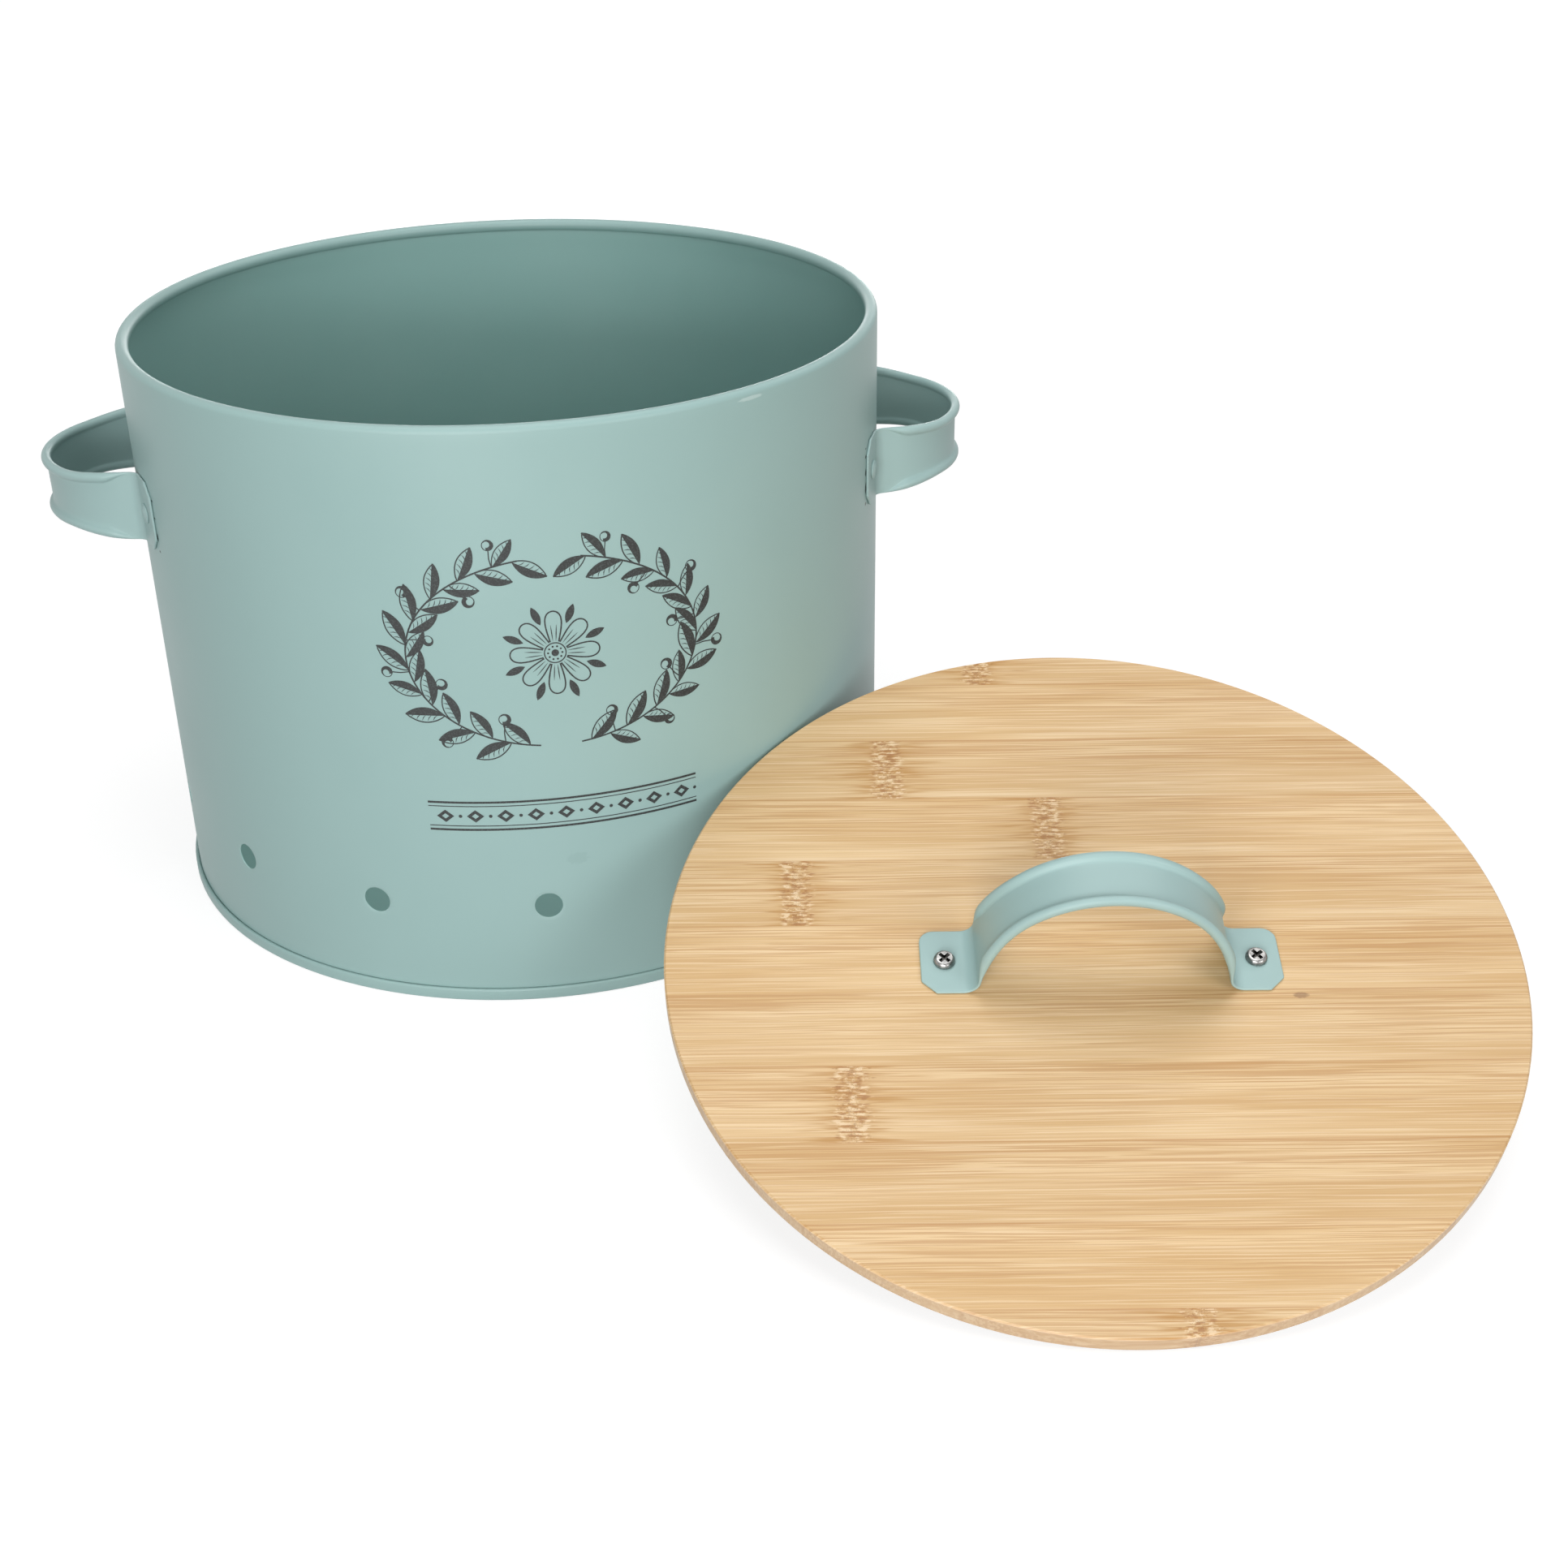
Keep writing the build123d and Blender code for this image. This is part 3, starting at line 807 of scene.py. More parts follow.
@dataclass
class SteelBin:
    """The wall with its curled rim and air holes, the double-seamed base and four rivets."""

    diameter: float = 240.0
    height: float = 185.0
    sheet: float = 0.4
    curl_diameter: float = 4.0
    curl_turn: float = 300.0
    seam_height: float = 4.0
    seam_play: float = 0.05
    seam_corner: float = 0.4
    panel_height: float = 3.6
    panel_corner: float = 0.8
    panel_rise: float = 1.4
    panel_step: Point = (96.0, 98.5)
    panel_step_bend: float = 2.0
    vent_count: int = 14
    vent_diameter: float = 8.5
    vent_height: float = 33.0
    vent_patch: float = 12.0
    vent_dish: float = 0.14
    handle_height: float = 138.0
    rivet_head: Point = (6.2, 1.1)
    rivet_head_edge: float = 0.35
    rivet_shank: float = 3.2
    rivet_tail: Point = (5.0, 1.0)
    rivet_seat: float = 0.9
    seat_gap: float = 0.05
    base_sectors: int = 144

    def __post_init__(self) -> None:
        """Works out the lines that the sheets follow."""
        self.radius = self.diameter / 2
        self.wall_line = self.radius - self.sheet / 2
        self.layer = self.sheet + self.seam_play
        self.wall_fold = 2 * self.layer + self.sheet / 2
        self.base_fold = self.seam_height - self.sheet / 2 - self.layer

    def marks(self, foot_end: float) -> list[Mark]:
        """The wall's marks: a small pale dash below the rim, a smudge, and painted shadow dashes where the handles'
        feet meet the wall.

        Args:
            foot_end: The angle between a handle's middle and the end of its foot.

        Returns:
            The marks.
        """
        marks = [
            # A small pale dash on the enamel below the rim at the front.
            Mark((67.6, -99.1, 182.3), (5.0, 5.0, 0.7), (0.50, 0.63, 0.61), 0.6),
            Mark((9.8, -119.6, 48.6), (4.0, 3.0, 2.4), (0.19, 0.30, 0.285), 0.2),
        ]
        # Painted shadow: dark dashes on the wall just beyond each foot's end, standing in for the contact shadow in the
        # gap between foot and wall.
        gap_shadow_colour, half, stand_off = (0.012, 0.02, 0.018), 0.95, 0.45
        left = ((-5.8, 1.9), (6.0, 0.5), (0.4, 0.45), (-10.4, 0.6))
        right = ((1.2, 1.9), (-4.0, 2.8), (6.5, 0.9), (9.2, 0.45), (-9.2, 0.9))
        for bearing, shadow_dashes in ((180 + foot_end, left), (-foot_end, right)):
            x, y = on_circle((0, 0), self.radius + stand_off, bearing)
            for rise, reach in shadow_dashes:
                marks.append(Mark((x, y, self.handle_height + rise), (half, half, reach), gap_shadow_colour, 1.0))
        return marks

    def wall_profile(self) -> tuple[list[Point], int, int]:
        """The middle of the wall's sheet, from its hook in the seam to the end of the curl.

        Returns:
            The profile, and the first and last of its points beside the air holes.
        """
        half, steps = self.vent_patch / 2, 8
        hook = [(self.wall_line + 2 * self.layer, self.base_fold)]
        hook += arc((self.wall_line + self.layer, self.wall_fold), self.layer, 0, -180, 8)
        beside = spaced(self.vent_height - half, self.vent_height + half, steps)
        upright = [8.0, 17.0, *beside, 48.0, 80.0, 112.0, 144.0, 172.0, 180.0]
        rise = self.curl_diameter / 2
        curl = arc((self.radius - rise, self.height - rise), rise - self.sheet / 2, 0, self.curl_turn, 26)
        first = len(hook) + 2
        return hook + [(self.wall_line, height) for height in upright] + curl, first, first + steps

    def wall_sector(self) -> Object:
        """The middle of the wall's sheet in one sector, with an air hole at its centre.

        Returns:
            The sector.
        """
        profile, first, last = self.wall_profile()
        rows, steps = len(profile), last - first
        half_turn, patch = 180 / self.vent_count, degrees(self.vent_patch / 2 / self.wall_line)
        left, right = spaced(-half_turn, -patch, 4), spaced(patch, half_turn, 4)
        columns = left + spaced(-patch, patch, steps)[1:-1] + right
        start, end = len(left) - 1, len(left) - 1 + steps

        def on_wall(angle: float, radius: float, height: float) -> Place:
            """A point at an angle from the front."""
            return (*on_circle((0, 0), radius, angle - 90), height)

        points = [on_wall(angle, *spot) for angle in columns for spot in profile]
        faces = []
        for column in range(len(columns) - 1):
            strip = columns_joined(column * rows, (column + 1) * rows, rows)
            faces += strip[:first] + strip[last:] if start <= column < end else strip
        edge = [column * rows + first for column in range(start, end)]
        edge += [end * rows + row for row in range(first, last)]
        edge += [column * rows + last for column in range(end, start, -1)]
        edge += [start * rows + row for row in range(last, first, -1)]
        for grown in (1.4, 0.9, 0.55, 0.28, 0.1, 0.0):
            dished = self.wall_line - self.vent_dish * (1 - smooth(grown / 0.9))
            ring = list(range(len(points), len(points) + len(edge)))
            for x, y in arc((0, self.vent_height), self.vent_diameter / 2 + grown, 225, 360, len(edge))[:-1]:
                points.append(on_wall(degrees(x / self.wall_line), dished, y))
            faces += loops_joined(edge, ring)
            edge = ring
        return make_piece("wall", points, faces)

    def base_sector(self) -> Object:
        """The middle of the base's sheet in one sector.

        Returns:
            The sector.
        """
        outer, inner, floor = self.wall_line + 3 * self.layer, self.wall_line - self.layer, self.sheet / 2
        raised = self.panel_height + self.panel_rise
        step_in, step_out = self.panel_step
        corners = [
            (outer, self.base_fold), (outer, floor), (inner, floor), (inner, self.panel_height),
            (step_out, self.panel_height), (step_in, raised), (0.0, raised),
        ]
        radii = [self.seam_corner] * 2 + [self.panel_corner] + [self.panel_step_bend] * 2
        profile = [(self.wall_line + self.layer, self.wall_fold)]
        profile += arc((self.wall_line + 2 * self.layer, self.base_fold), self.layer, 180, -180, 10)
        profile += rounded_line(corners, radii, 6)[1:]
        points = [
            (radius * cos(turn), radius * sin(turn), height)
            for turn in (0.0, 2 * pi / self.base_sectors) for radius, height in profile
        ]
        return make_piece("base", points, columns_joined(0, len(profile), len(profile)))

    def build_sheet(self, sector: Object, count: int, ring: Tree, enamel: Material) -> None:
        """Builds a sheet from the middle of one sector, with its thickness and eased edges.

        Args:
            sector: The sector.
            count: How many sectors there are.
            ring: The tree that repeats it.
            enamel: The sheet's finish.
        """
        grow(sector, ring, {"Count": count, "Weld": WELD, "Finish": enamel})
        clean(sector)
        solid = sector.modifiers.new("Sheet", "SOLIDIFY")
        solid.thickness, solid.offset = self.sheet * MM, 0.0
        edges = sector.modifiers.new("Eased edges", "BEVEL")
        edges.width, edges.segments = 0.09 * MM, 2
        edges.limit_method, edges.angle_limit = "ANGLE", radians(60)
        hand_over(sector, Body.BIN, Slot.PAINT, f"bin_{sector.name}")

    def build_rivets(self, trees: Trees, enamel: Material, spread: float) -> None:
        """Builds the four rivets of the handles.

        Args:
            trees: The geometry trees.
            enamel: The rivets' finish.
            spread: The angle between a handle's middle and its rivets.
        """
        head, rise = self.rivet_head[0] / 2, self.rivet_head[1]
        tail, depth = self.rivet_tail[0] / 2, self.rivet_tail[1]
        shank, seat = self.rivet_shank / 2, self.rivet_seat
        dome = rise - self.rivet_head_edge
        dome_radius = (head**2 + dome**2) / (2 * dome)
        start = degrees(acos(head / dome_radius))
        inside = -self.sheet - self.seat_gap
        end = inside - depth
        profile = [(0.0, end), (tail - 0.5, end), (tail - 0.15, end + 0.15), (tail, end + 0.5), (tail, inside)]
        profile += [(shank, inside), (shank, seat), (head - 0.06, seat), (head, seat + 0.1)]
        profile += arc((0, seat + rise - dome_radius), dome_radius, start, 90 - start, 8)
        rivets = make_piece("rivets", *turned(profile, 28))
        clean(rivets, sharp=50)
        sizes = {"Wall Radius": self.radius * MM, "Height": self.handle_height * MM, "Spread": radians(spread)}
        grow(rivets, trees.rivets, sizes | {"Finish": enamel})
        names = [f"rivet_{side}_{end}" for side in ("left", "right") for end in ("front", "rear")]
        hand_over(rivets, Body.BIN, Slot.PAINT, *names)


# ---------------------------------------------------------------- strap handles


@dataclass
class StrapHandle:
    """A strap bent to an arch with rolled long edges, from the half plan of its middle line.

    In its own place X runs away from what it is fixed to, Y along the strap and Z across it.
    foot_radius is the radius that the feet are curved to, or None if they are flat.
    """

    name: str
    place: Matrix
    arch_x: float
    bend: Point
    foot_radius: float | None = None
    corners: tuple[Corner, Corner] = (Corner.CLIPPED, Corner.CLIPPED)
    sheet: float = 0.8
    blank: float = 22.0
    bead: float = 3.0
    bead_reach: float = 7.8
    bead_offset: float = 0.4
    crease: float = 1.2
    arch_radius: float = 35.2
    bend_radius: float = 4.4
    fade: float = 9.0
    settle: float = 26.0
    foot: float = 11.4
    hole: float = 4.6
    corner: float = 4.2

    def stations(self) -> list[tuple[Point, Point, float, float]]:
        """Half the strap from the end of a foot to the crown.

        Returns:
            Each station's place, outward direction, distance from the foot's end and distance
            from the bend along the arch.
        """
        ease = self.sheet / 2
        from_end = [ease * (1 - cos(radians(angle))) for angle in (20, 45, 70, 90)]
        from_end += spaced(ease, self.corner, 8)[1:] + spaced(self.corner, self.foot, 5)[1:]
        found = [(*self.foot_point(distance), distance, 0.0) for distance in from_end]
        (start_x, start_y), _ = self.foot_point(self.foot)
        begin = degrees(atan2(start_y - self.bend[1], start_x - self.bend[0]))
        to_bend = degrees(atan2(self.bend[1], self.bend[0] - self.arch_x))
        for x, y in arc(self.bend, self.bend_radius, begin, (to_bend + 180 - begin) % 360, 12)[1:]:
            outwards = ((self.bend[0] - x) / self.bend_radius, (self.bend[1] - y) / self.bend_radius)
            found.append(((x, y), outwards, self.foot, 0.0))
        rolled = to_bend - degrees(self.fade / self.arch_radius)
        for angle in spaced(to_bend, rolled, 12)[1:] + spaced(rolled, 0.0, 22)[1:]:
            spot = on_circle((self.arch_x, 0), self.arch_radius, angle)
            along = self.arch_radius * radians(to_bend - angle)
            found.append((spot, on_circle((0, 0), 1, angle), self.foot, along))
        return found

    def foot_point(self, distance: float) -> tuple[Point, Point]:
        """A place on the foot's middle line.

        Args:
            distance: How far it is from the foot's end.

        Returns:
            The place and the direction out of the foot.
        """
        if self.foot_radius is None:
            return (self.bend[0] - self.bend_radius, self.bend[1] + self.foot - distance), (1.0, 0.0)
        angle = degrees(atan2(self.bend[1], self.bend[0]) + (self.foot - distance) / self.foot_radius)
        return on_circle((0, 0), self.foot_radius, angle), on_circle((0, 0), 1, angle)

    def half_width(self, distance: float, corner: Corner) -> float:
        """Half the strap's flat width near the end of its foot.

        Args:
            distance: How far it is from the end.
            corner: How that corner is finished.

        Returns:
            The half width.
        """
        left = max(self.corner - distance, 0.0)
        if corner is Corner.CLIPPED:
            return self.blank / 2 - left
        return self.blank / 2 - self.corner + sqrt(self.corner**2 - left**2)

    def section(self, along: float, distance: float) -> list[Point]:
        """The strap's section: places across it and heights over its middle.

        Args:
            along: How far it is from the bend along the arch.
            distance: How far it is from the end of the foot.

        Returns:
            The section's outline.
        """
        half = self.sheet / 2
        roll, narrow = smooth(along / self.fade), smooth(along / self.settle)
        thick = half * sqrt(max(1 - (1 - min(distance / half, 1.0)) ** 2, 0.04))
        offset, soft = self.bead_offset * roll, 0.01 + self.crease * roll
        radius = thick + (self.bead / 2 - thick) * roll
        reach = radius + soft
        lift, drop = (asin(min((thick + soft + way * offset) / reach, 1.0)) for way in (-1, 1))
        start, end = 180 - degrees(lift), degrees(drop) - 180
        sides = []
        for corner in self.corners:
            edge = self.half_width(distance, corner) - half + thick
            centre = edge + (self.bead_reach + self.bead / 2 - edge) * narrow - radius
            side = arc((centre - reach * cos(lift), thick + soft), soft, -90, start - 90, 4)[:-1]
            side += arc((centre, offset), radius, start, end - start, 16)
            side += arc((centre - reach * cos(drop), -thick - soft), soft, end + 180, -90 - end, 4)[1:]
            sides.append(side)
        left, right = [(-x, y) for x, y in reversed(sides[0])], sides[1]
        outer, inner = (
            [(width, height) for width in spaced(one[-1][0], other[0][0], 8)[1:-1]]
            for one, other, height in ((left, right, thick), (right, left, -thick))
        )
        return left + outer + right + inner

    def build(self, body: Body, enamel: Material) -> None:
        """Builds the handle.

        Args:
            body: The body that it rides on.
            enamel: Its finish.
        """
        half = self.stations()
        mirrored = [((x, -y), (out, -aside), *rest) for (x, y), (out, aside), *rest in half[-2::-1]]
        points = [
            self.place @ Vector((x + out * height, y + aside * height, width))
            for (x, y), (out, aside), distance, along in half + mirrored
            for width, height in self.section(along, distance)
        ]
        rows = len(self.section(0.0, self.foot))
        loops = [range(first, first + rows) for first in range(0, len(points), rows)]
        faces = [face for one, other in zip(loops, loops[1:]) for face in loops_joined(one, other)]
        handle = make_piece(f"{self.name}_strap", points, [*faces, tuple(loops[0]), tuple(loops[-1])])
        clean(handle, sharp=50)
        handle.data.materials.append(enamel)
        hand_over(handle, body, Slot.PAINT, self.name)


def bin_handles(steel_bin: SteelBin, sink: float = 7.5, gap: float = 0.05) -> tuple[list[StrapHandle], float]:
    """The two handles riveted to the bin.

    Args:
        steel_bin: The bin.
        sink: How far the arch's centre lies inside the wall.
        gap: The paint between a foot and the wall.

    Returns:
        The handles, and the angle from a handle's middle to its rivets.
    """
    foot_line = steel_bin.radius + gap + StrapHandle.sheet / 2
    arch_x = steel_bin.radius - sink
    reach = foot_line + StrapHandle.bend_radius
    arch_reach = StrapHandle.arch_radius + StrapHandle.bend_radius
    bend_x = (reach**2 - arch_reach**2 + arch_x**2) / (2 * arch_x)
    bend = (bend_x, sqrt(reach**2 - bend_x**2))
    lift = Matrix.Translation((0, 0, steel_bin.handle_height))
    handles = [
        StrapHandle(name, lift @ Matrix.Diagonal((side, side, 1, 1)), arch_x, bend, foot_line)
        for name, side in (("right_handle", 1), ("left_handle", -1))
    ]
    return handles, degrees(atan2(bend[1], bend[0]) + StrapHandle.hole / foot_line)


# ---------------------------------------------------------------- the lid


@dataclass
class LidPlace:
    """Where the lid lies: the middle of its upper face and the directions of its board."""

    centre: Vector
    across: Vector
    uphill: Vector
    normal: Vector

    @classmethod
    def from_frame(cls, strips: Sequence[Object], turn: float = -0.9) -> "LidPlace":
        """Reads the lid's place from its strips.

        Args:
            strips: The nodes of the lid's strips.
            turn: The angle between the strips and the level direction in the lid's plane.

        Returns:
            The place, in millimetres.
        """
        normal = max((face for strip in strips for face in strip.data.polygons), key=lambda face: face.area).normal
        normal = (normal if normal.z > 0 else -normal).normalized()
        level = Vector((-normal.y, normal.x, 0)).normalized()
        across = level * cos(radians(turn)) + normal.cross(level) * sin(radians(turn))
        uphill = normal.cross(across)
        points = [vertex.co / MM for strip in strips for vertex in strip.data.vertices]
        centre = normal * max(point.dot(normal) for point in points)
        for way in (across, uphill):
            reaches = [point.dot(way) for point in points]
            centre += way * (min(reaches) + max(reaches)) / 2
        return cls(centre, across, uphill, normal)

    def point(self, x: float, y: float, z: float = 0.0) -> Vector:
        """A place given from the middle of the lid's upper face."""
        return self.centre + self.across * x + self.uphill * y + self.normal * z

    def turn(self) -> Place:
        """The lid's turn as Euler angles."""
        return tuple(Matrix((self.across, self.uphill, self.normal)).transposed().to_euler())


@dataclass
class BambooLid:
    """The eleven strips of the lid, its strap handle and the two screws."""

    place: LidPlace
    diameter: float = 242.4
    over_top: float = 11.8
    over_foot: float = 16.1
    arch_rise: float = 0.3
    seat_gap: float = 0.05
    handle_middle: Point = (1.8, -4.0)
    screw_head: Point = (6.2, 1.7)
    screw_edge: float = 0.3
    screw_round: float = 1.1
    screw_shank: float = 3.0
    screw_length: float = 7.0
    screw_point: float = 1.8
    cross: Place = (3.8, 1.1, 0.9)
    knots: Sequence[float | None] = (-24.4, None, -55.1, -8.0, -83.4, None, None, -69.5, None, None, 14.0)
    speck_strip: int = 7
    speck: Place = (56.3, -16.6, 0.0)
    tones: Sequence[float] = (0.98, 1.0, 0.965, 1.01, 0.985, 1.02, 0.99, 1.0, 0.985, 1.01, 0.97)

    def dress_strips(self, effects: Effects) -> None:
        """Gives each strip its own bamboo.

        Args:
            effects: The shared shader groups.
        """
        top = self.diameter / 2 + self.over_top
        width = (top + self.diameter / 2 + self.over_foot) / len(self.tones)
        for number, (tone, knot) in enumerate(zip(self.tones, self.knots), 1):
            middle, name = top - (number - 0.5) * width, f"bamboo_{number:02d}"
            speck = self.speck if number == self.speck_strip else None
            bamboo = Bamboo(name, number, middle, width / 2, tone, knot, speck)
            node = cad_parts[f"lid_strip_{number:02d}"]
            node.data.materials.clear()
            node.data.materials.append(bamboo.material(effects, self.place))
            LOG.info("%s: %s", node.name, name)

    def build_handle(self, enamel: Material) -> float:
        """Builds the lid's strap handle.

        Args:
            enamel: Its finish.

        Returns:
            How far each screw is from the handle's middle.
        """
        lid = self.place
        columns = Matrix((lid.normal, lid.across, lid.uphill)).transposed()
        place = Matrix.Translation(lid.point(*self.handle_middle)) @ columns.to_4x4()
        bend_x = self.seat_gap + StrapHandle.sheet / 2 + StrapHandle.bend_radius
        reach = StrapHandle.arch_radius + StrapHandle.bend_radius
        bend = (bend_x, sqrt(reach**2 - (bend_x - self.arch_rise) ** 2))
        corners = (Corner.CLIPPED, Corner.ROUNDED)
        StrapHandle("lid_handle", place, self.arch_rise, bend, corners=corners).build(Body.LID, enamel)
        return bend[1] + StrapHandle.hole

    def build_screws(self, trees: Trees, zinc: Material, reach: float) -> None:
        """Builds the two pan-head screws.

        Args:
            trees: The geometry trees.
            zinc: Their finish.
            reach: How far each is from the handle's middle.
        """
        head, rise = self.screw_head[0] / 2, self.screw_head[1]
        flat, shank = head - self.screw_round, self.screw_shank / 2
        profile = [(0.0, -self.screw_length), (shank, self.screw_point - self.screw_length), (shank, 0.0)]
        profile += [(head - 0.1, 0.0), (head, 0.1)]
        profile += [
            (flat + self.screw_round * x, self.screw_edge + (rise - self.screw_edge) * y)
            for x, y in arc((0, 0), 1, 0, 90, 8)
        ]
        sides = 40
        points, faces = turned(profile, sides)
        rim = range(len(profile) - 1, sides * len(profile), len(profile))
        arm, slot, depth = self.cross[0] / 2, self.cross[1] / 2, self.cross[2]
        outline = [(arm, -slot), (arm, slot), (slot, slot), (slot, arm), (-slot, arm), (-slot, slot)]
        outline += [(-x, -y) for x, y in outline]
        recess = []
        for share, drop in ((1.0, 0.0), (0.93, 0.12), (0.6, depth)):
            recess.append(range(len(points), len(points) + len(outline)))
            points += [(x * share, y * share, rise - drop) for x, y in outline]
        faces += loops_joined(recess[0], recess[1]) + loops_joined(recess[1], recess[2]) + [tuple(recess[2])]
        screws = make_piece("lid_screws", points, faces)
        self.close_head(screws, rim, recess[0])
        clean(screws, sharp=40)
        # Marks the points in the cross recess, where the zinc gets its painted shade.
        recess_shade_mask = screws.data.attributes.new("recess", "FLOAT", "POINT")
        for vertex in screws.data.vertices:
            inside = vertex.co.xy.length < flat * MM and 0.0 < vertex.co.z < (rise - 0.05) * MM
            recess_shade_mask.data[vertex.index].value = float(inside)
        seat = self.place.point(*self.handle_middle, 2 * self.seat_gap + StrapHandle.sheet) * MM
        settings = {
            "Reach": reach * MM, "First Turn": radians(44), "Turn Step": radians(-7),
            "Lid Place": tuple(seat), "Lid Turn": self.place.turn(), "Finish": zinc,
        }
        grow(screws, trees.screws, settings)
        hand_over(screws, Body.LID, Slot.ZINC, "lid_screw_left", "lid_screw_right")

    @staticmethod
    def close_head(screws: Object, *loops: Sequence[int]) -> None:
        """Fills the top of the head between its rounding and the cross recess.

        Args:
            screws: The screw.
            loops: The points at the rounding's upper end, and at the recess's mouth.
        """
        work = bmesh.new()
        work.from_mesh(screws.data)
        work.verts.ensure_lookup_table()
        edges = []
        for loop in loops:
            for here, after in zip(loop, [*loop[1:], loop[0]]):
                pair = (work.verts[here], work.verts[after])
                edges.append(work.edges.get(pair) or work.edges.new(pair))
        bmesh.ops.triangle_fill(work, edges=edges, use_beauty=True)
        work.to_mesh(screws.data)
        work.free()


# ---------------------------------------------------------------- the print


@dataclass
class FlatArt:
    """The points and faces of a flat print, in millimetres."""

    points: list[Point] = field(default_factory=list)
    faces: Faces = field(default_factory=list)

    def band(self, right: Sequence[Point], left: Sequence[Point]) -> None:
        """Fills the band between two lines of as many points.

        Args:
            right: The line on the right-hand side, looking along it.
            left: The line on the left-hand side.
        """
        start = len(self.points)
        for pair in zip(right, left):
            self.points += pair
        self.faces += [(i, i + 2, i + 3, i + 1) for i in range(start, start + 2 * len(right) - 2, 2)]

    def stroke(self, line: Sequence[Point], width: float, taper: bool = False) -> None:
        """Draws a line with a pen.

        Args:
            line: Its points.
            width: Its width.
            taper: Whether it runs out thin at both ends.
        """
        spots = [Vector(point) for point in line]
        right, left = [], []
        for i, spot in enumerate(spots):
            ahead = (spots[min(i + 1, len(spots) - 1)] - spots[max(i - 1, 0)]).normalized()
            share = sin(pi * (i + 0.25) / (len(spots) - 0.5)) if taper else 1.0
            aside = Vector((-ahead.y, ahead.x)) * (width / 2 * share)
            right.append(spot - aside)
            left.append(spot + aside)
        self.band(right, left)

    def dot(self, centre: Point, radius: float, sides: int = 14) -> None:
        """Draws a filled dot."""
        self.faces.append(tuple(range(len(self.points), len(self.points) + sides)))
        self.points += arc(centre, radius, 0, 360, sides)[:-1]

    def piece(self, name: str) -> Object:
        """The art as a flat object."""
        return make_piece(f"print_{name}", [(x, y, 0.0) for x, y in self.points], self.faces)


